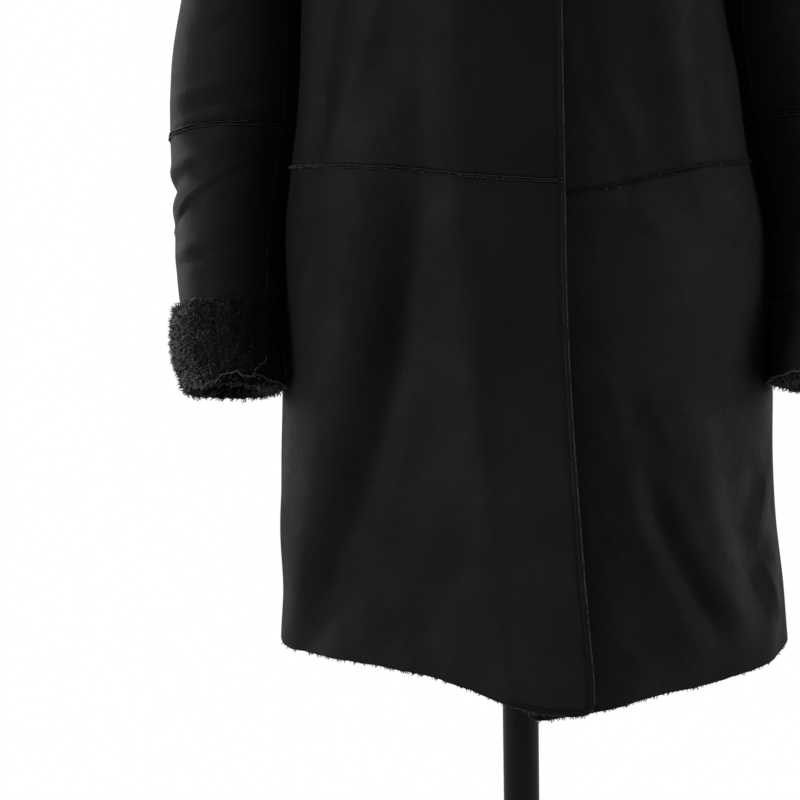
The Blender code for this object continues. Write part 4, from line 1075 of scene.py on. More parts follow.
# station, turn round the arm (0 front, 90 outside, 180 back), half width in stations,
# reach in degrees, height, slant in stations for each reach
ARM_FOLDS = np.array([
    (7.75, 10.0, 0.14, 42.0, 0.003, 0.1), (7.45, -10.0, 0.14, 34.0, -0.0028, 0.1),
    (7.05, 20.0, 0.2, 36.0, 0.0026, 0.1), (8.85, 48.0, 0.2, 40.0, 0.0036, 0.1),
    (9.3, 82.0, 0.22, 40.0, -0.0044, 0.1), (9.75, 60.0, 0.26, 40.0, 0.0026, 0.1),
    (10.95, 30.0, 0.2, 34.0, 0.0022, 0.1), (11.25, 20.0, 0.18, 40.0, -0.0024, 0.1),
    (6.5, 185.0, 0.24, 50.0, 0.0034, 0.1), (7.1, 172.0, 0.2, 46.0, -0.0036, 0.1),
    (8.6, 190.0, 0.24, 50.0, -0.004, 0.1), (9.4, 175.0, 0.26, 46.0, 0.003, 0.1),
    (3.2, -20.0, 0.5, 34.0, -0.004, 0.1), (2.4, 195.0, 0.5, 34.0, -0.004, 0.1),
    (7.43, 355.0, 0.07, 15.0, 0.0014, 0.05), (7.62, 348.0, 0.06, 13.0, -0.0012, 0.02),
    (7.74, 352.0, 0.06, 12.0, 0.0012, 0.0), (9.52, 24.0, 0.085, 38.0, 0.003, 0.52),
    (9.86, 40.0, 0.09, 34.0, -0.002, 0.46), (9.4, 8.0, 0.11, 30.0, -0.0012, 0.3),
    (10.4, 74.0, 0.1, 26.0, 0.0014, -0.2), (11.5, 6.0, 0.06, 16.0, 0.0018, 0.0),
    (11.62, 8.0, 0.06, 18.0, -0.0014, 0.0), (10.95, 345.0, 0.12, 22.0, 0.001, 0.1),
    (6.7, 30.0, 0.16, 30.0, 0.0012, -0.2), (5.6, 10.0, 0.2, 30.0, -0.0014, 0.25),
    (7.9, 150.0, 0.12, 26.0, 0.0022, 0.2), (8.25, 205.0, 0.11, 30.0, 0.0024, -0.16),
    (7.55, 215.0, 0.11, 26.0, -0.002, -0.2), (9.1, 140.0, 0.12, 26.0, -0.0018, 0.22),
    (10.2, 210.0, 0.14, 30.0, 0.0016, -0.1),
])
# station, turn, half width in stations, reach in degrees, height: fullness beside the body
SLEEVE_FULLNESS = np.array([
    (12.1, 283.0, 1.25, 38.0, 0.007), (5.1, 283.0, 0.8, 38.0, 0.0044),
    (2.3, 285.0, 1.0, 38.0, 0.0045),
])


def arm_ring(turn, station, side, out=0.0):
    """Tilted ellipse across the arm; out moves it off the sleeve."""
    s, c = sin_cos(turn)
    inner, outer = (np.stack([smooth_rows(ARM, station, k), smooth_rows(ARM, station, k + 1)], -1)
                    for k in (1, 3))
    half = 0.5 * np.linalg.norm(outer - inner, axis=-1)
    lateral = (outer - inner) / (2 * half[..., None])
    middle = 0.5 * (outer + inner)
    tilt = np.radians(smooth_rows(ARM, station, 7))
    x = middle[..., 0] + (half + out) * s * lateral[..., 0]
    z = middle[..., 1] + (half + out) * s * lateral[..., 1]
    depth = smooth_rows(ARM, station, 6) + out
    y = smooth_rows(ARM, station, 5) - depth * c * np.cos(tilt)
    z = z + depth * c * np.sin(tilt)
    if side > 0:
        x = x + LEFT_ARM_SHIFT * ease((1.16 - middle[..., 1]) / 0.34)
    return np.stack([side * x, y, z], -1)


def armhole_ring(turn, side):
    """The armhole edge, just under the panels' surface and following their rows."""
    start = np.floor(turn / ARMHOLE_STEP) * ARMHOLE_STEP
    part = (turn - start) / ARMHOLE_STEP
    ends = zip(sin_cos(start), sin_cos(start + ARMHOLE_STEP))
    s, c = (a * (1 - part) + b * part for a, b in ends)
    level = ARMHOLE_MIDDLE + ARMHOLE_HALF * s * ARMHOLE_FIT
    angle = side * (90.0 - ARMHOLE_FIT * np.where(c > 0, ARMHOLE_FRONT * c, ARMHOLE_BACK * c))
    return stood_off(garment, angle, level, -ARMHOLE_TUCK)


def sleeve(turn, station, side):
    """Arm rings moved out by the creases and drawn to the armhole over the first station."""
    start = ((1 - np.clip(station, 0, 1)) ** 2)[..., None]
    root = armhole_ring(turn, side) - arm_ring(turn, 0.0 * station, side)
    creases = np.zeros(np.broadcast(turn, station).shape)
    for at, facing, width, reach, height, slant in ARM_FOLDS:
        away = around(turn - facing) / reach
        across = station - at - slant * away
        creases = creases + height * np.exp(-((across / width) ** 2) - away ** 2)
    creases = creases * ease(station) * ease((12.0 - station) / 0.6)
    for at, facing, width, reach, height in SLEEVE_FULLNESS:
        away = around(turn - facing) / reach
        creases = creases + height * np.exp(-(((station - at) / width) ** 2) - away ** 2)
    return arm_ring(turn, station, side, creases) + start * root


# %% Sleeve skins
SLEEVE_PARTS = {
    "sleeve_upper": (0.0, SEAM_STATION - SEAM_HALF, 96, 99, (0, 0, 0, 0)),
    "sleeve_lower": (SEAM_STATION + SEAM_HALF, SLEEVE_END, 96, 81, (0, 0, 1, 0)),
}
for side, arm in ARMS:
    for part, (first, last, columns, rows, free) in SLEEVE_PARTS.items():
        turn, station = np.meshgrid(np.arange(columns) * 360.0 / columns,
                                    np.linspace(first, last, rows))
        grid = sleeve(turn, station, side)
        middle = np.broadcast_to(grid.mean(1, keepdims=True), grid.shape)
        skin, _ = wall_sheet(arm + part + "_skin", grid, middle, free, wrap=True)
        settle(skin, "coat_leather", arm + part)
        print(arm + part, np.round(measured(grid, wrap=True), 4).tolist())

# %% [markdown]
# ## Turned-out seams
# The skins are sewn wool side to wool side and the seam is turned outward, so it shows two thin
# cut edges with wool caught between them, coloured darker as painted shade. A profile carried
# along the seam gives all of it: two lips that waver and sink as they run, and a fuzzy groove.
# Displacing the panel instead could not give the sharp cut faces.

# %% Seam profile
# across the seam, out from the leather, slot of the strip to the next row: 0 leather, 1 cut
# edge, 2 wool
LIPS = np.array([
    (-0.0031, 0.0002, 0), (-0.0026, 0.0014, 0), (-0.0021, 0.0022, 1), (-0.0014, 0.0024, 2),
    (-0.001, 0.0015, 2), (-0.0005, 0.0011, 2), (0.0, 0.0013, 2), (0.0005, 0.001, 2),
    (0.001, 0.0015, 1), (0.0014, 0.0023, 1), (0.002, 0.0021, 0), (0.0026, 0.0013, 0),
    (0.0031, 0.0002, 0),
])


def seam_bar(name, locate, length, columns, seed, closed=False, scale=1.0, proud=1.0,
             edge=None):
    """The lips carried along locate(u, across, out), wavering with the length run.

    The main wave fits a whole number of times into the length, so a closed seam nearly meets
    itself.
    """
    def sway(shift, size):
        return wander(run, seed + shift, length / round(length / size))

    u = np.arange(columns) / (columns if closed else columns - 1)
    run = u * length
    across, out, slot = LIPS.T
    rows = len(LIPS)
    u_grid = np.repeat(u[:, None], rows, 1)
    line = np.stack([run, 0 * run, 0 * run], -1)
    upper = np.clip(0.40 + 0.75 * sway(1.7, 0.023), 0, 1)
    lower = np.clip(0.35 + 0.75 * sway(3.1, 0.029), 0, 1)
    high = np.where(across[None] > 0, upper[:, None], lower[:, None])
    shift = (0.00045 * sway(0, 0.052)[:, None] * np.sign(across)[None]
             + 0.00040 * sway(0.9, 0.031)[:, None])
    wool = (slot == 2) | (np.roll(slot, 1) == 2)
    tuft = 0.0010 * (clumps(line, 0.0040, seed) - 0.6) + 0.0006 * (clumps(line, 0.0021, seed) - 0.6)
    rise = (high - 0.75) * out[None] * 0.8 + tuft[:, None] * wool[None]
    rise = np.where(out[None] > 0.0005, rise, 0.0)
    points = locate(u_grid, scale * (across[None] + shift), scale * proud * (out[None] + rise))
    quads = grid_quads(columns, rows, wrap=True)
    if closed:
        last = np.arange(rows)
        ahead = (last + 1) % rows
        tail = (columns - 1) * rows
        quads = np.vstack([quads, np.stack([tail + last, tail + ahead, ahead, last], -1)])
    quad_slots = np.tile(slot.astype(int), len(quads) // rows)
    triangles = [] if closed else end_fans(rows, (columns - 1) * rows)
    return make_piece(name, points, quads, triangles,
                      [seam_nappa, edge or seam_edge, groove_wool], quad_slots)


def waist_seam(surface, column, start, end):
    """Place on the waist seam: level moves across it, the surface normal gives out."""
    def locate(u, across, out):
        angle = start + (end - start) * u
        return stood_off(surface, angle, waist_level(angle, column) + across, out)
    return locate


# %% Waist seams
edge_waist = waist_level(9.0, 1)
right_edge_angle = float(front_angle(smooth_rows(FRONT_EDGES, edge_waist, 1) - 0.0008, edge_waist))
# surface, waist column, first and last angle, length, columns, seed, scale, height share, lip
WAIST_SEAMS = {
    "right_waist_welt": (lapped, 1, -89.6, right_edge_angle, 0.36, 260, 1.0, 0.78, 1.0, None),
    # on the left front the lips take the dark seam leather in place of the pale cut-edge colour:
    # painted shade
    "left_waist_welt": (garment, 2, 10.4, 89.6, 0.28, 200, 2.3, 0.80, 0.62, seam_nappa),
    "back_waist_welt": (garment, 3, 90.4, 269.6, 0.62, 400, 4.1, 0.80, 0.9, None),
}
for seam, row in WAIST_SEAMS.items():
    surface, column, start, end, length, columns, seed, scale, proud, edge = row
    bar = seam_bar(seam + "_lips", waist_seam(surface, column, start, end), length, columns, seed,
                   scale=scale, proud=proud, edge=edge)
    settle(bar, "seam_leather", seam)

# %% Forearm seams and the long sleeve seams
STATION_LENGTH = 0.0435  # metres down the arm for each station
SLEEVE_RADIUS = 0.060
FRONT_SEAM_TURN = 309.0


def sleeve_normal(turn, station, side):
    """Outward direction of a sleeve, from small differences."""
    around_it = sleeve(turn + 2.0, station, side) - sleeve(turn - 2.0, station, side)
    low = np.clip(station - 0.05, 0, 16)
    along = sleeve(turn, np.clip(station + 0.05, 0, 16), side) - sleeve(turn, low, side)
    return unit(side * np.cross(along, around_it))


def off_sleeve(turn, station, side, out):
    """Point of a sleeve, moved out along its normal."""
    return sleeve(turn, station, side) + out[..., None] * sleeve_normal(turn, station, side)


for side, arm in ARMS:
    def round_the_arm(u, across, out):
        return off_sleeve(360.0 * u, SEAM_STATION + across / STATION_LENGTH, side, out)

    bar = seam_bar(arm + "forearm_welt_lips", round_the_arm, 0.39, 180, 3.0 + side, closed=True)
    settle(bar, "seam_leather", arm + "forearm_welt")
    for label, first, last in (("front_seam_above", 0.9, SEAM_STATION - 0.09),
                               ("front_seam_below", SEAM_STATION + 0.09, 12.3)):
        def down_the_arm(u, across, out):
            turn = FRONT_SEAM_TURN + np.degrees(across / SLEEVE_RADIUS)
            return off_sleeve(turn, first + (last - first) * u, side, out)

        length = (last - first) * STATION_LENGTH
        bar = seam_bar(arm + label, down_the_arm, length, int(length / 0.0022), FRONT_SEAM_TURN,
                       scale=0.55)
        settle(bar, "seam_leather")

# %% [markdown]
# ## The edge band
# Down the free front edge and round its corner the leather is pressed flat and topstitched a
# finger's breadth in. The band is a low strip with a groove where the stitches sink, and each
# stitch is a small rod lying in it.

# %% Edge band
# in from the edge, out from the leather
BAND = np.array([
    (0.0002, 0.0001), (0.0002, 0.001), (0.0008, 0.0015), (0.0022, 0.0014), (0.004, 0.0011),
    (0.005, 0.0004), (0.0055, 0.0002), (0.006, 0.0004), (0.0066, 0.0005), (0.007, 0.0001),
])
BAND_STRAIGHT = 0.86     # share of the run that is the straight edge
BAND_CORNER = 0.90       # share at which the corner ends
HEM_RUN = 0.060          # length along the hem, where the band fades out
BAND_LENGTH = 0.98


def edge_place(u, inset, out):
    """Down the free edge, a quarter turn round the corner, then along the hem."""
    run = np.clip(u / BAND_STRAIGHT, 0, 1)
    bend = np.clip((u - BAND_STRAIGHT) / (BAND_CORNER - BAND_STRAIGHT), 0, 1) * np.pi / 2
    rest = np.clip((u - BAND_CORNER) / (1 - BAND_CORNER), 0, 1)
    radius = HEM_CORNER - inset
    away = HEM_CORNER - radius * np.cos(bend) + HEM_RUN * rest
    height = HEM_CORNER - radius * np.sin(bend)
    edge_hem = smooth_rows(HEM, 15.0, 1)
    level = edge_hem + height + (1 - run) * (NECK_LEVEL - 0.004 - edge_hem - HEM_CORNER)
    for _ in range(4):
        x = smooth_rows(FRONT_EDGES, level, 1) - away
        angle = front_angle(x, level)
        level = np.where(run < 1, level, smooth_rows(HEM, angle, 1) + height)
    return stood_off(lapped, angle, level, out * (1 - 0.75 * ease(rest)))


def edge_band():
    """The band's profile swept along the edge, wavering a little in width and height."""
    columns, rows = 560, len(BAND)
    u = np.repeat(np.linspace(0, 1, columns)[:, None], rows, 1)
    run = u * BAND_LENGTH
    across, out = BAND.T[:, None]
    inset = across + 0.0003 * wander(run, 1.1, 0.09) * (across > 0.001)
    inset = inset + 0.0001 * wander(run, 5.1, 0.023)
    outer = across < 0.0010
    inset = inset + outer * (0.0003 + 0.0003 * wander(run, 3.3, 0.0065))
    lift = 1 + 0.22 * wander(run, 2.7, 0.047) + 0.35 * outer * wander(run, 8.1, 0.0090)
    # the outer strip, and the next one in broken stretches, take the pale edge colour with its
    # painted highlight
    slots = np.zeros((columns - 1, rows), int)
    slots[:, 0] = 1
    slots[:, 1] = wander(np.linspace(0, BAND_LENGTH, columns - 1), 6.4, 0.041) > -0.35
    return make_piece("front_edge_band_strip", edge_place(u, inset, out * lift),
                      grid_quads(columns, rows, wrap=True), end_fans(rows, (columns - 1) * rows),
                      [seam_nappa, band_edge_and_highlight], slots.ravel())


settle(edge_band(), "seam_leather", "front_edge_band")

# %% Topstitching
STITCH_PITCH = 0.0040
STITCH_LENGTH = 0.0031
STITCH_RADIUS = 0.00032


def stitch_rods(name, starts, ends, normals):
    """Five-sided rods of five rings, one a stitch, whose ends dip into the leather."""
    t = np.array([0.0, 0.12, 0.5, 0.88, 1.0])
    sink = np.array([-1.6, 0.3, 0.7, 0.3, -1.6]) * STITCH_RADIUS
    width = np.array([0.5, 1.0, 1.0, 1.0, 0.5]) * STITCH_RADIUS
    sideways = np.cross(unit(ends - starts), normals)
    centre = starts[:, None] + (ends - starts)[:, None] * t[None, :, None]
    centre = centre + sink[None, :, None] * normals[:, None]
    points = tube_points(centre, sideways[:, None], normals[:, None], width, 5)
    return make_piece(name, points, copies(grid_quads(5, 5, wrap=True), len(starts), 25),
                      copies(end_fans(5, 20), len(starts), 25), [thread])


stitch_at = np.arange(0.004, 0.985, STITCH_PITCH / BAND_LENGTH)
groove = np.full_like(stitch_at, 0.0055)     # the stitches sink in the groove of the band
low = np.full_like(stitch_at, 0.0006)
stitch_from = edge_place(stitch_at, groove, low)
stitch_to = edge_place(stitch_at + STITCH_LENGTH / BAND_LENGTH, groove, low)
stitch_up = unit(edge_place(stitch_at, groove, low + 0.004) - stitch_from)
settle(stitch_rods("front_edge_stitches", stitch_from, stitch_to, stitch_up), "seam_leather")

# %% [markdown]
# ## Curled wool
# Each strand of wool is a short tapering tube wound into a loose curl. A hair system would look
# right in a render but leaves no mesh behind, so the strands are three-sided tubes round a
# helix: root, plus a lean along the wool, plus a widening circle. Neighbours are drawn towards
# one tip and share a lean and a shade, which is what parts the wool into locks with dark gaps;
# the strands at a lock's rim are also coloured darker, a painted shade in those gaps.

# %% Curl strands
CURL_RINGS = 5
LOCK_SIZE = 0.0080
LOCK_TILT = np.array(Euler((0.5, 0.7, 0.3)).to_matrix())    # so that locks form no rows


def curl_locks(name, roots, normals, down, length, radius, turns, thick, seed, lean=0.55,
               springiness_and_shade=1.0):
    """Tapering tubes along root + a t + r (cos, sin), with values for root-to-tip and shade.

    The last argument is 1 for wool that stands up and 0 for wool pressed flat and short, which is
    also darkened as painted shade.
    """
    random = np.random.default_rng(seed)
    count = len(roots)
    springiness_and_shade = np.broadcast_to(springiness_and_shade, count)[:, None]
    lean = lean + 0.9 * np.clip(1 - springiness_and_shade, 0, 1)
    length = (length * (0.50 + 0.50 * np.clip(springiness_and_shade, 0, 1)))[:, :, None]
    where = roots @ LOCK_TILT.T / LOCK_SIZE
    where = where + 0.30 * np.sin(2.1 * where[:, [1, 2, 0]])
    cell = np.floor(where + 0.5)
    own = jitter(cell, 5.0 + seed) - 0.5
    gather = (cell + 0.7 * own - where) @ LOCK_TILT
    gather = gather - np.sum(gather * normals, -1, keepdims=True) * normals
    loose = random.normal(size=(count, 3)) * 0.30
    axis = unit(normals + lean * down + 0.9 * own + 1.1 * gather + loose)
    axis = unit(axis + np.clip(0.35 - np.sum(axis * normals, -1, keepdims=True), 0, 1) * normals)
    side = unit(np.cross(axis, normals + 0.3 * loose + 0.01))
    other = np.cross(axis, side)
    t = np.linspace(0, 1, CURL_RINGS)[None, :, None]
    size = (0.75 + 0.5 * random.random((count, 1, 1)))
    start = 2 * np.pi * random.random((count, 1, 1))
    spin = np.where(random.random((count, 1, 1)) < 0.5, -1.0, 1.0)
    wind = start + spin * 2 * np.pi * turns * (0.8 + 0.4 * random.random((count, 1, 1))) * t
    reach = radius * size * (0.35 + 0.65 * t)
    circle = reach * (np.cos(wind) * side[:, None] + np.sin(wind) * other[:, None])
    centre = roots[:, None] + axis[:, None] * length * size * t + circle - circle[:, :1]
    along = unit(np.gradient(centre, axis=1))
    ring_a = unit(np.cross(along, axis[:, None] + 0.05))
    ring_b = np.cross(along, ring_a)
    width = thick * size * (1.0 - 0.85 * t ** 2)
    points = tube_points(centre, ring_a, ring_b, width[..., 0], 3)
    each = 3 * CURL_RINGS
    caps = np.array([(0, 1, 2), (each - 1, each - 2, each - 3)])
    obj = make_piece(name, points, copies(grid_quads(CURL_RINGS, 3, wrap=True), count, each),
                     copies(caps, count, each), [wool_curls])
    # each lock's own random shade of colour, times a painted shade that darkens wool pressed flat
    shade = (0.55 + jitter(cell, 9.0 + seed)[:, :1]) * (
        0.55 + 0.95 * random.random((count, 1)) ** 2) * (0.20 + 0.80 * springiness_and_shade)
    # strands at a lock's rim keep more of the dark root colour: painted shade in the gaps between
    # locks
    inner = 1 - np.clip(np.linalg.norm(gather, axis=-1, keepdims=True) / 1.1, 0, 1) ** 2
    for label, value in (("reach", t[..., 0] * (0.45 + 0.55 * inner)), ("shade", shade)):
        keep_value(obj, label, np.repeat(np.broadcast_to(value, (count, CURL_RINGS)), 3, 1))
    settle(obj, "wool_pile")


# %% [markdown]
# ## Cuffs
# The sleeve ends in a lip whose wool hangs out below the leather. Over it a band of skin is
# turned back with its wool outside, and stops short of the side toward the body, where the plain
# sleeve end shows. So a cuff is a closed ring, the sleeve end, with an open flap over it.

# %% Cuff sections
# station and distance out from the sleeve, once round the section of the sleeve end
SLEEVE_LIP = np.array([
    (12.4, 0.0018), (13.2, 0.0016), (14.2, 0.0014), (15.05, 0.0012), (15.1, -0.0072),
    (15.6, -0.0068), (16.0, -0.002), (15.98, 0.0022), (15.55, 0.0044), (15.0, 0.0048),
    (14.2, 0.0048), (13.2, 0.0046), (12.5, 0.0034),
])
# the same of the turned-back flap
FLAP = np.array([
    (12.58, 0.0054), (13.5, 0.0054), (14.6, 0.0054), (15.45, 0.0056), (15.88, 0.0062),
    (16.03, 0.0082), (15.78, 0.011), (15.05, 0.013), (14.2, 0.014), (13.3, 0.0134),
    (12.76, 0.0112), (12.42, 0.0084), (12.36, 0.0062),
])
SECTION_ROWS = 13
PLAIN_TURN = -18.0                  # the sleeve end is plain leather before this turn
FLAP_TO = 205.0                     # where the flap ends behind, degrees round the arm
FLAP_FROM = {-1: -56.0, 1: -27.0}   # its free end in front, on the right and left arm
# degrees from the free end, how far the flap's lip is raised, metres
FLAP_RISE = np.array([
    (0.0, 0.03), (6.0, 0.021), (12.0, 0.0155), (22.0, 0.0093), (32.0, 0.0062), (41.0, 0.0112),
    (51.0, 0.0078), (60.0, 0.004), (70.0, 0.001), (89.0, 0.0), (110.0, 0.0), (170.0, 0.0),
    (220.0, 0.004), (260.0, 0.01),
])
# turn, how far the leather's own lip is raised, metres
LIP_RISE = np.array([
    (-170.0, 0.002), (-120.0, 0.001), (-90.0, 0.0008), (-62.0, 0.0014), (-42.0, 0.0034),
    (-20.0, 0.007), (180.0, 0.007),
])
# turn, how far the plain sleeve end stands out on the side toward the body, metres
INNER_FULLNESS = np.array([
    (-180.0, 0.0), (-160.0, 0.0015), (-125.0, 0.0065), (-80.0, 0.0082), (-58.0, 0.003),
    (-40.0, 0.0), (180.0, 0.0),
])
INNER_DROOP = 0.38                  # how far the inner side hangs lower, stations
OUTER_TUCK = 0.13                   # how far the outer side is drawn up behind the flap
LEFT_FULLNESS = 1.45                # the left sleeve lies closer to the body
LIP_ROW = 8.2                       # row where the plain sleeve end changes to wool
CURL_INSET = 0.0026
CUFF_GIRTH = 0.30                   # metres once round a cuff


def four_point_blend(a, b, c, d, t):
    """Catmull-Rom curve: runs smoothly from b to c, with its slopes from both neighbours."""
    return 0.5 * (2 * b + (c - a) * t + (2 * a - 5 * b + 4 * c - d) * t ** 2
                  + (3 * b - a - 3 * c + d) * t ** 3)


def closed_curve(rows, v):
    """Smooth closed curve through the rows of a table."""
    where = (v % 1.0) * len(rows)
    i = np.floor(where).astype(int)
    return four_point_blend(*(rows[(i + k) % len(rows)] for k in (-1, 0, 1, 2)),
                            (where - i)[..., None])


def raised(station, top, rise):
    """Stations drawn up toward a top one, so that the last of them rises by a height."""
    stations = ARM[:, 0]
    levels = 0.5 * (ARM[:, 2] + ARM[:, 4])
    high = np.interp(top, stations, levels)
    level = np.interp(station, stations, levels)
    level = high - (high - level) * (1 - rise / (high - levels[-1]))
    past = np.clip(station - stations[-1], 0, None)
    return np.where(rise > 0, np.interp(-level, -levels, stations) + past, station)


def sleeve_end(u, v, side, inset=0.0):
    """The sleeve's lip carried round the arm: plain on the inner side, wool elsewhere."""
    station, out = np.moveaxis(closed_curve(SLEEVE_LIP, v), -1, 0)
    turn = around(360.0 * u)
    row = SECTION_ROWS * v
    lift = smooth_rows(LIP_RISE, turn, 1) + 0.0012 * wander(u * CUFF_GIRTH, 1.0 + side, 0.05)
    near_lip = np.exp(-(((row - LIP_ROW) / 0.8) ** 2))
    full = smooth_rows(INNER_FULLNESS, turn, 1) * (1.0 if side < 0 else LEFT_FULLNESS)
    full = full * ease((row - 7.4) / 0.8) * ease((12.95 - row) / 0.7)
    wool = ease((row - 5.2) / 0.6) * ease((LIP_ROW - row) / 0.6)
    droop = 0.06 * wander(u * 0.36, 2.0 + side, 0.12) + INNER_DROOP * np.exp(
        -(around(turn + 90.0) / 60.0) ** 2)
    droop = droop - OUTER_TUCK * np.exp(-(around(turn - 75.0) / 70.0) ** 2)
    droop = droop * ease((station - 14.4) / 1.2)
    fringe = 0.0010 * wander(u * CUFF_GIRTH, 7.0 + side, 0.021) * wool
    return arm_ring(turn, raised(station, 12.4, lift * near_lip) + droop, side,
                    out + full + fringe - inset * wool)


def flap_turn(u, side):
    """Place round the arm of a share of the flap's length."""
    return FLAP_FROM[side] + (FLAP_TO - FLAP_FROM[side]) * u


def flap_surface(u, v, side, inset=0.0):
    """The turned-back flap: its lip is raised unevenly and its ends are rounded off."""
    station, out = np.moveaxis(closed_curve(FLAP, v), -1, 0)
    turn = flap_turn(u, side)
    row = SECTION_ROWS * v
    outside = ease((row - 4.6) / 1.2) * ease((12.8 - row) / 0.6)
    rise = smooth_rows(FLAP_RISE, turn - FLAP_FROM[side], 1)
    ends = np.clip(np.minimum(turn - FLAP_FROM[side], FLAP_TO - turn) / 9.0, 0.0, 1.0)
    plump = np.sqrt(1 - (1 - ends) ** 2)
    corner = (1 - plump) * 0.0090
    uneven = wander(u * CUFF_GIRTH, 4.0 + side, 0.055) + 0.7 * wander(v, 6.0 + side, 0.30)
    bulge = 0.0008 * np.exp(-((around(turn - 88.0) / 40.0) ** 2 + ((row - 8.6) / 1.6) ** 2))
    moved = (0.0016 * uneven + bulge - inset) * outside
    station = raised(station, 12.22, rise + corner)
    station = station + (1 - plump) * 0.35 * ease((13.4 - station) / 1.2)
    thick = 0.0050 + (out + moved - 0.0050) * np.clip(plump, 0.06, 1.0)
    return arm_ring(turn, station, side, thick)


def surface_frame(shape, u, v):
    """Point and normal on a ring surface."""
    at = shape(u, v)
    across = shape(u + 0.002, v) - shape(u - 0.002, v)
    over = shape(u, v + 0.004) - shape(u, v - 0.004)
    return at, unit(np.cross(across, over))


def outward_sign(shape):
    """1 or -1: which way the ring's normals must be read to point out of its section."""
    u, v = np.meshgrid(np.linspace(0.1, 0.9, 12), np.linspace(0, 1, 26)[:-1])
    at, normal = surface_frame(shape, u, v)
    return np.sign(np.mean(np.sum(normal * (at - shape(u, 0 * v + 0.12)), -1)))


# %% Cuff beds
def ring_piece(name, shape, columns, rows, materials, slots, closed, lumps):
    """Closed ring, or open strip with rounded ends, from shape(u, v) with woolly lumps on it."""
    u = np.arange(columns) / (columns if closed else columns - 1)
    u, v = np.meshgrid(u, np.arange(rows) / rows)
    at, normal = surface_frame(shape, u, v)
    lump = clumps(at, LOCK_SIZE, 2.0) + 0.5 * clumps(at, 0.0038, 4.0)
    at = at + (0.0020 * (lump - 0.9) * lumps(u, v))[..., None] * outward_sign(shape) * normal
    quads = grid_quads(rows, columns, wrap=closed)
    j = np.arange(columns if closed else columns - 1)
    k = (j + 1) % columns
    last = (rows - 1) * columns
    quads = np.vstack([quads, np.stack([last + j, last + k, k, j], -1)])
    caps = [] if closed else end_fans(rows, columns - 1, columns)
    return make_piece(name, at, quads, caps, materials, slots(u, v, quads))


def is_plain(u, v):
    """True where the sleeve end is bare leather: its outside, on the side toward the body."""
    return (SECTION_ROWS * v > LIP_ROW) & (around(360.0 * u) < PLAIN_TURN)


def sleeve_end_slots(u, v, quads):
    """Leather or wool for each face, by its first corner."""
    return np.where(is_plain(u, v).ravel()[quads[:, 0]], 0, 1)


def flap_wool(u, v):
    """1 on the furry part of the flap's section."""
    row = SECTION_ROWS * v
    return ease((row - 3.8) / 0.8) * ease((12.9 - row) / 0.6)


def lip_wool(u, v):
    """1 on the furry part of the sleeve end's section."""
    row = SECTION_ROWS * v
    return ease((row - 4.2) / 0.8) * np.where(is_plain(u, v), 0.0, ease((12.4 - row) / 0.8))


cuff_shapes = {}
for side, arm in ARMS:
    cuff_shapes[arm] = (lambda u, v, side=side: sleeve_end(u, v, side, CURL_INSET),
                        lambda u, v, side=side: flap_surface(u, v, side, CURL_INSET))
    end_shape, flap_shape = cuff_shapes[arm]
    lip = ring_piece(arm + "cuff_lip", end_shape, 144, 72, [nappa, wool_bed], sleeve_end_slots,
                     True, lip_wool)
    settle(lip, "wool_pile")
    bed = ring_piece(arm + "cuff_bed", flap_shape, 132, 84, [wool_bed],
                     lambda u, v, quads: 0, False, flap_wool)
    settle(bed, "wool_pile", arm + "cuff")

# %% Cuff curls
# sleeve end first, then flap: strands round it, over it, rows of the section they stand on
CUFF_CURLS = ((72, 16, 4.6, 10.2), (108, 36, 3.9, 12.85))
# turn on the flap, how far its wool stands up: it is pressed flat toward its free end, and darkened
# there as painted shade
FLAP_SPRING_AND_SHADE = np.array([
    (-60.0, 0.02), (-18.0, 0.06), (8.0, 0.3), (28.0, 0.75), (52.0, 1.45), (100.0, 2.1),
    (210.0, 1.0),
])


def scattered_shares(columns, rows, random):
    """Jittered even pairs of numbers from 0 to 1."""
    i, j = np.meshgrid(np.arange(columns), np.arange(rows))
    u = (i + random.random(i.shape)).ravel() / columns
    return u, (j + random.random(j.shape)).ravel() / rows


def scattered(shape, around_count, over_count, first, last, random):
    """Jittered even places on a ring surface, even by length over the section."""
    u, share = scattered_shares(around_count, over_count, random)
    fine = np.linspace(first, last, 200) / SECTION_ROWS
    line = shape(0 * fine + 0.55, fine)
    run = np.concatenate([[0], np.cumsum(np.linalg.norm(np.diff(line, axis=0), axis=1))])
    return u, np.interp(share * run[-1], run, fine)


for side, arm in ARMS:
    random = np.random.default_rng(11 + side)
    roots, normals, springiness_and_shade = [], [], []
    for shape, (around_count, over_count, first, last) in zip(cuff_shapes[arm], CUFF_CURLS):
        u, v = scattered(shape, around_count, over_count, first, last, random)
        if shape is cuff_shapes[arm][0]:
            keep = ~is_plain(u, v)
            u, v = u[keep], v[keep]
            springiness_and_shade.append(0.0 * u + 0.95)
        else:
            # the table sets both how flat the wool lies and the painted shade on it
            springy_and_shade = smooth_rows(FLAP_SPRING_AND_SHADE, flap_turn(u, side), 1)
            keep = random.random(len(u)) < 0.30 + springy_and_shade
            u, v = u[keep], v[keep]
            springiness_and_shade.append(springy_and_shade[keep])
        at, normal = surface_frame(shape, u, v)
        roots.append(at)
        normals.append(outward_sign(shape) * normal)
    curl_locks(arm + "cuff_curls", np.concatenate(roots), np.concatenate(normals), DOWN, 0.0044,
               0.0013, 0.8, 0.00068, 21 + side, 0.35, np.concatenate(springiness_and_shade))

# %% [markdown]
# ## Lip lines
# Along the flap's lip and the plain sleeve end runs the cut edge of the leather, a pale thread
# of a line that comes and goes, paler than the other cut edges by a painted highlight. It is a thin
# five-sided cord that sinks into the wool here and there; painted on, it would have no edge of its
# own.

# %% Lip lines
LIP_RADIUS = 0.00066


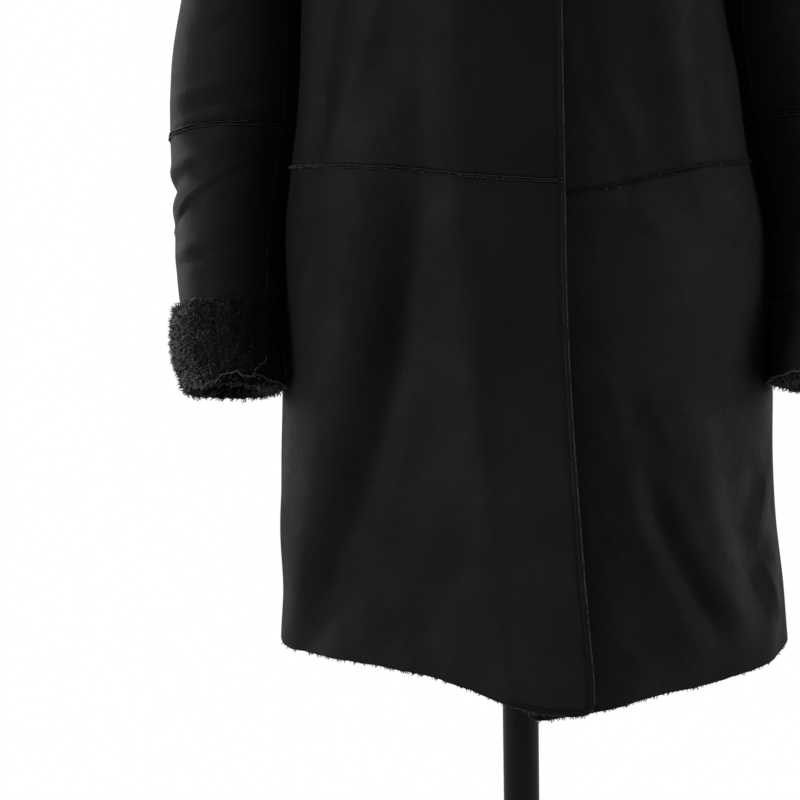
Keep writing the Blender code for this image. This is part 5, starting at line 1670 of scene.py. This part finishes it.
def lip_line(name, shape, u, row, seed, stand):
    """Cut edge along one row of a section: a five-sided cord, wavering across it and in width."""
    run = (u - u[0]) * CUFF_GIRTH
    row = row + 0.07 * wander(run, seed, 0.017) + 0.05 * wander(run, seed + 6.0, 0.0042)
    at, normal = surface_frame(shape, u, row / SECTION_ROWS)
    normal = outward_sign(shape) * normal
    sunk = 0.0009 * wander(run, seed + 2.0, 0.011) + 0.0007 * wander(run, seed + 3.0, 0.0035)
    radius = LIP_RADIUS * (1 + 0.45 * wander(run, seed + 4.0, 0.007))
    radius = radius * (1 + 0.35 * wander(run, seed + 5.0, 0.0027))
    line = at + (stand + sunk)[:, None] * normal
    along = unit(np.gradient(line, axis=0))
    sideways = unit(np.cross(along, normal))
    points = tube_points(line, sideways, np.cross(sideways, along), radius, 5)
    settle(make_piece(name, points, grid_quads(len(line), 5, wrap=True),
                      end_fans(5, 5 * (len(line) - 1)), [lip_edge_and_highlight]), "seam_leather")


for side, arm in ARMS:
    end_shape, flap_shape = cuff_shapes[arm]
    reach = 96.0 / (FLAP_TO - FLAP_FROM[side])
    lip_line(arm + "cuff_flap_edge", flap_shape, np.linspace(0.012, reach, 220), 5.25, 2.0, 0.0034)
    lip_line(arm + "cuff_end_edge", end_shape, np.linspace(190.0, 338.0, 240) / 360.0, LIP_ROW,
             3.0, 0.0010)

# %% [markdown]
# ## Collar
# The collar stands up from the neckline and turns down over the shoulders, wool side out. Its
# sheet is worked out from a table that is a stand at first and then hands over to a fall that
# follows the shoulders. The wool on it is made as on the cuffs.

# %% Collar sheet
# rise over the neckline, reach out from it, level and distance off the coat, share of the fall
COLLAR = np.array([
    (0.0, 0.0, 1.43, 0.01, 0.0), (0.02, 0.001, 1.43, 0.01, 0.0), (0.035, 0.004, 1.43, 0.01, 0.0),
    (0.041, 0.01, 1.43, 0.01, 0.0), (0.037, 0.017, 1.43, 0.018, 0.1),
    (0.02, 0.024, 1.42, 0.016, 0.7), (0.01, 0.03, 1.408, 0.012, 1.0),
    (0.0, 0.036, 1.394, 0.01, 1.0), (0.0, 0.036, 1.38, 0.01, 1.0),
    (0.0, 0.036, 1.364, 0.011, 1.0),
])
COLLAR_START = 26.0
COLLAR_SIDE_SHARE = 0.55
COLLAR_WALL = 0.0042     # leather and the roots of the wool; the curls make up the rest


def collar_sheet(u, v):
    """Stand times (1 - share) plus fall times share, u round the neck and v over the fold."""
    angle = COLLAR_START + (360.0 - 2 * COLLAR_START) * u
    where = v * (len(COLLAR) - 1)
    low = np.clip(np.floor(where).astype(int), 0, len(COLLAR) - 2)
    rows = np.vstack([2 * COLLAR[:1] - COLLAR[1:2], COLLAR, 2 * COLLAR[-1:] - COLLAR[-2:-1]])
    row = four_point_blend(*(rows[low + k] for k in range(4)), (where - low)[..., None])
    up, reach, level, off, share = np.moveaxis(row, -1, 0)
    share = np.clip(share, 0, 1)[..., None]
    s, c = sin_cos(angle)
    neck = body_ring(angle, np.full_like(level, NECK_LEVEL))
    level = NECK_LEVEL - (NECK_LEVEL - level) * (c * c + COLLAR_SIDE_SHARE * s * s)
    stand = neck + np.stack([reach * s, -reach * c, up + 0.0006], -1)
    fall = stood_off(body_ring, angle, level, off)
    roll = 0.0010 * wander(u * 0.9, 2.0, 0.21) * ease((v - 0.4) / 0.3)
    return stand * (1 - share) + fall * share + np.stack([roll * s, -roll * c, 0 * roll], -1)


def collar_frame(u, v):
    """Point on the leather side and the direction toward the wool."""
    low, high = np.clip(v - 0.01, 0, 1), np.clip(v + 0.01, 0, 1)
    left, right = np.clip(u - 0.003, 0, 1), np.clip(u + 0.003, 0, 1)
    across = collar_sheet(right, v) - collar_sheet(left, v)
    return collar_sheet(u, v), -unit(np.cross(across, collar_sheet(u, high)
                                              - collar_sheet(u, low)))


u, v = spread(181, 65)
grid, toward_wool = collar_frame(u, v)
collar_skin, _ = wall_sheet("collar_skin", grid, grid + 0.01 * toward_wool, (0, 1, 1, 1),
                            wall=COLLAR_WALL, materials=[nappa, cut_edge, wool_bed])
settle(collar_skin, "wool_pile", "collar")
print("collar width, length, area:", np.round(measured(grid), 4).tolist())

u, v = scattered_shares(128, 32, np.random.default_rng(7))
root, toward_wool = collar_frame(0.003 + 0.994 * u, 0.01 + 0.98 * v)
root = root + (COLLAR_WALL - 0.0012) * toward_wool
curl_locks("collar_curls", root, toward_wool, DOWN, 0.0036, 0.0013, 1.0, 0.0008, 33)

# %% [markdown]
# ## Wool showing at hems and seams
# Short locks of the inner wool stick out under the hems and out of the turned-out seams. They
# are the same strands as on the cuffs, much shorter, and thickest where the cloth pulls.

# %% Tufts


def pick_along(line, count, seed):
    """Spots on a polyline, evenly spread but for a random part of one step."""
    random = np.random.default_rng(seed)
    run = np.concatenate([[0], np.cumsum(np.linalg.norm(np.diff(line, axis=0), axis=1))])
    at = (np.arange(count) + random.random(count)) / count * run[-1]
    return np.stack([np.interp(at, run, line[:, k]) for k in range(3)], -1)


def hem_tufts(name, panel, count, seed):
    """Locks hanging from the wool layer along the edges of a panel that face down."""
    edge, face, out, swell = free_edges[panel][-1]
    chosen = (swell > 0.5) & (out[:, 2] < -0.7)
    order = np.argsort(np.arctan2(edge[chosen, 0], -edge[chosen, 1]))
    line = np.concatenate([edge[chosen], face[chosen]], -1)[order]
    spots = pick_along(line[:, :3], count, seed)
    nearest = np.argmin(np.linalg.norm(spots[:, None] - line[None, :, :3], axis=-1), 1)
    back = np.random.default_rng(seed).uniform(0.0022, 0.0060, (count, 1))
    root = spots - back * line[nearest, 3:] + np.array([0, 0, 0.0008])
    curl_locks(name, root, np.tile(DOWN, (count, 1)), line[nearest, 3:], 0.0042, 0.0009, 0.7,
               0.0006, seed, lean=0.25)


for panel, count in (("right_front_skirt", 420), ("left_front_skirt", 380), ("back_skirt", 560)):
    hem_tufts(panel + "_tufts", panel, count, 40 + count)


def seam_tufts(name, surface, column, start, end, count, seed):
    """Fine locks out of the groove of a waist seam."""
    random = np.random.default_rng(seed)
    angle = start + (end - start) * (np.arange(count) + random.random(count)) / count
    level = waist_level(angle, column) + random.normal(size=count) * 0.0006
    normal = unit_normal(surface, angle, level)
    root = surface(angle, level) + 0.0012 * normal
    curl_locks(name, root, normal, DOWN, 0.0022, 0.0005, 0.6, 0.00028, seed, lean=0.3)


for seam, (surface, column, start, end, length, _, seed, _, proud, _) in WAIST_SEAMS.items():
    seam_tufts(seam + "_tufts", surface, column, start, end, int(length * 560 * proud ** 3),
               int(seed * 10))

# %% [markdown]
# ## Dress form and stand
# The form is a padded body without limbs, covered in jersey. Its rings are the coat's own rings
# drawn inward, so it always stays clear of the wool. The cap, pole and base are turned shapes: a
# profile carried round an upright axis.

# %% Dress form
# level, how far the form stays inside the coat's surface, and its pull toward the axis
TORSO = np.array([
    (0.8, 0.096, 0.0), (0.815, 0.086, 0.0), (0.87, 0.078, 0.0), (0.94, 0.078, 0.0),
    (1.02, 0.082, 0.0), (1.1, 0.058, 0.0), (1.17, 0.034, 0.0), (1.23, 0.023, 0.0),
    (1.29, 0.016, 0.0), (1.33, 0.0115, 0.0), (1.357, 0.009, 0.0), (1.38, 0.0086, 0.0),
    (1.405, 0.0086, 0.001), (1.43, 0.009, 0.006),
])
# height, half width, front, back of the neck
NECK = np.array([
    (1.446, 0.063, 0.06, 0.049), (1.47, 0.06, 0.057, 0.049), (1.5, 0.058, 0.055, 0.05),
])
SEAM_ANGLES = (-90, -38, 0, 38, 90, 142, 180, 218)


def even_ring(angle, level):
    return body_ring(angle, level, even=True)


def torso_body(angle, level):
    """Coat ring drawn in along its normal, with shallow grooves at the cover's seams."""
    inset = smooth_rows(TORSO, level, 1)
    flat = unit_normal(even_ring, angle, level)
    flat[..., 2] = flat[..., 2] * ease((level - 0.86) / 0.08)
    s, c = sin_cos(angle)
    groove = sum(np.exp(-((around(angle - a) / 1.4) ** 2)) for a in SEAM_ANGLES)
    inset = inset + 0.0010 * groove
    return (even_ring(angle, level) - inset[..., None] * flat
            - smooth_rows(TORSO, level, 2)[..., None] * np.stack([s, -c, 0 * angle], -1))


def neck_ring(angle, height):
    """Half width sine, front or back depth cosine; rows give the sizes for each height."""
    s, c = sin_cos(angle)
    depth = np.where(c > 0, smooth_rows(NECK, height, 2), smooth_rows(NECK, height, 3))
    return np.stack([smooth_rows(NECK, height, 1) * s, -depth * c, height], -1)


def closed_rings(name, rings, material):
    """Mesh through stacked rings, with a point in the middle of both ends."""
    rows, columns = rings.shape[:2]
    points = np.vstack([rings.reshape(-1, 3), rings[0].mean(0), rings[-1].mean(0)])
    j = np.arange(columns)
    k = (j + 1) % columns
    low = np.stack([np.full(columns, rows * columns), k, j], -1)
    top = np.stack([np.full(columns, rows * columns + 1), (rows - 1) * columns + j,
                    (rows - 1) * columns + k], -1)
    return make_piece(name, points, grid_quads(rows, columns, wrap=True), np.vstack([low, top]),
                      [material])


turn = np.linspace(-180, 180, 181)[:-1]
angle, level = np.meshgrid(turn, np.linspace(0.8002, 1.430, 80))
lower = torso_body(angle, level)
angle, height = np.meshgrid(turn, np.linspace(1.448, 1.4997, 12))
form = closed_rings("dress_form", np.vstack([lower, neck_ring(angle, height)]), jersey)
settle(form, "form_cover", "form_torso")

# %% Cap, pole and base


def turned(name, profile, material, segments=128):
    """Profile of radius and height carried round the upright axis."""
    turn = np.linspace(0, 2 * np.pi, segments + 1)[:-1]
    radius, height = np.array(profile).T
    rings = np.stack([radius[:, None] * np.cos(turn), radius[:, None] * np.sin(turn),
                      height[:, None] + 0 * turn], -1)
    return closed_rings(name, rings, material)


def rounded(radius, low, high, edge, steps=5):
    """Profile of a disc whose rim has quarter-round edges."""
    bend = np.linspace(0, np.pi / 2, steps)
    under = np.stack([radius - edge + edge * np.sin(bend), low + edge - edge * np.cos(bend)], -1)
    over = np.stack([radius - edge + edge * np.cos(bend), high - edge + edge * np.sin(bend)], -1)
    return np.vstack([under, over])


POLE_RADIUS = 0.0189
BASE_RADIUS = 0.180
cap_profile = np.vstack([rounded(0.0560, 1.5003, 1.5110, 0.0030),
                         [(0.048, 1.5130), (0.038, 1.5150), (0.026, 1.5168), (0.014, 1.5177)]])
settle(turned("neck_cap", cap_profile, lacquer, 96), "cap_lacquer", "form_neck_cap")
pole_profile = rounded(POLE_RADIUS, 0.0083, 0.7997, 0.0006)
settle(turned("stand_pole", pole_profile, satin_paint), "stand_metal", "pole")
base_profile = np.vstack([[(BASE_RADIUS - 0.010, 0.0)], rounded(BASE_RADIUS, 0.0, 0.0080, 0.0016)])
settle(turned("stand_base", base_profile, satin_paint, 160), "stand_metal", "base_plate")

# %% [markdown]
# ## Cut sizes
# Each skin is a sheet: its flat cut is the width and length that it spans along its surface, and
# its area is the cut's own, because none of the pieces is a rectangle.

CUTS = {
    "right_front_upper_skin": (0.338, 0.585, 0.121),
    "left_front_upper_skin": (0.328, 0.583, 0.119),
    "right_front_skirt_skin": (0.419, 0.504, 0.186),
    "left_front_skirt_skin": (0.367, 0.508, 0.176),
    "back_upper_skin": (0.556, 0.557, 0.211),
    "back_skirt_skin": (0.710, 0.496, 0.322),
    "right_sleeve_upper_skin": (0.483, 0.419, 0.126),
    "right_sleeve_lower_skin": (0.405, 0.252, 0.085),
    "left_sleeve_upper_skin": (0.483, 0.420, 0.126),
    "left_sleeve_lower_skin": (0.405, 0.254, 0.085),
    "right_cuff_bed": (0.250, 0.100, 0.020),
    "left_cuff_bed": (0.230, 0.100, 0.019),
    "right_cuff_lip": (0.330, 0.110, 0.030),
    "left_cuff_lip": (0.330, 0.110, 0.030),
    "collar_skin": (0.702, 0.150, 0.071),
}


for label, (width, length, area) in CUTS.items():
    print(label, "cut", width, "x", length, "m, area", area)

# %% [markdown]
# ## Floor, light and world
# Black leather is lit from both sides, the left stronger, with nothing in front: a front light
# would flatten every fold. The floor and the world look plain white to the camera and give much
# less light than that, because a truly white room would wash out black leather.

# %% Floor
def pale_floor():
    """White to the camera, pale grey to the light: Light Path picks between the two."""
    material, tree, shader = new_material("pale floor", Base_Color=(0.55, 0.55, 0.55, 1.0),
                                          Roughness=0.9)
    output = tree.nodes["Material Output"]
    glow = place(tree, "ShaderNodeEmission", {"Color": (1.0, 1.0, 1.0, 1.0), "Strength": 1.0})
    path = place(tree, "ShaderNodeLightPath")
    mix = place(tree, "ShaderNodeMixShader")
    join(tree, (path, "Is Camera Ray", mix, 0), (shader, "BSDF", mix, 1),
         (glow, "Emission", mix, 2), (mix, "Shader", output, "Surface"))
    return material


span = 6.0
corners = np.array([(-span, -span, 0), (span, -span, 0), (span, span, 0), (-span, span, 0)])
floor = make_piece("floor", corners - np.array([0, 0, 0.0005]), [(0, 1, 2, 3)], [],
                   [pale_floor()], closed=False)

# %% Lights
def soft_light(name, place_at, aim, width, height, power):
    """Area light turned so that its face looks at the aim point."""
    data = bpy.data.lights.new(name, "AREA")
    data.shape = "RECTANGLE"
    data.size, data.size_y = width, height
    data.energy = power
    light = bpy.data.objects.new(name, data)
    bpy.context.scene.collection.objects.link(light)
    look = (Vector(aim) - Vector(place_at)).normalized().to_track_quat("-Z", "Y")
    light.matrix_world = Matrix.Translation(place_at) @ look.to_matrix().to_4x4()
    light.visible_camera = False
    return light


MIDDLE = (0.0, 0.0, 0.85)
soft_light("soft light, left", (-2.12, -1.08, 1.48), MIDDLE, 0.5, 1.7, 17.4)
soft_light("soft light, right", (2.30, -0.62, 1.48), MIDDLE, 0.7, 1.8, 15.8)
soft_light("soft light, back left", (-1.90, 1.20, 1.30), MIDDLE, 0.6, 1.8, 19.0)
soft_light("soft light, back right", (1.70, 1.50, 1.30), MIDDLE, 0.6, 1.8, 14.0)

# %% World


def studio_world():
    """White to the camera, dim to everything else."""
    world = bpy.data.worlds.new("studio")
    bpy.context.scene.world = world
    world.use_nodes = True
    tree = world.node_tree
    back = tree.nodes["Background"]
    path = place(tree, "ShaderNodeLightPath")
    level = place(tree, "ShaderNodeMapRange", {"To Min": WORLD_LIGHT, "To Max": 1.0})
    join(tree, (path, "Is Camera Ray", level, "Value"), (level, "Result", back, "Strength"))
    back.inputs["Color"].default_value = (1.0, 1.0, 1.0, 1.0)


WORLD_LIGHT = 0.095
studio_world()
bpy.context.scene.view_settings.view_transform = "Standard"
bpy.context.scene.view_settings.look = "None"
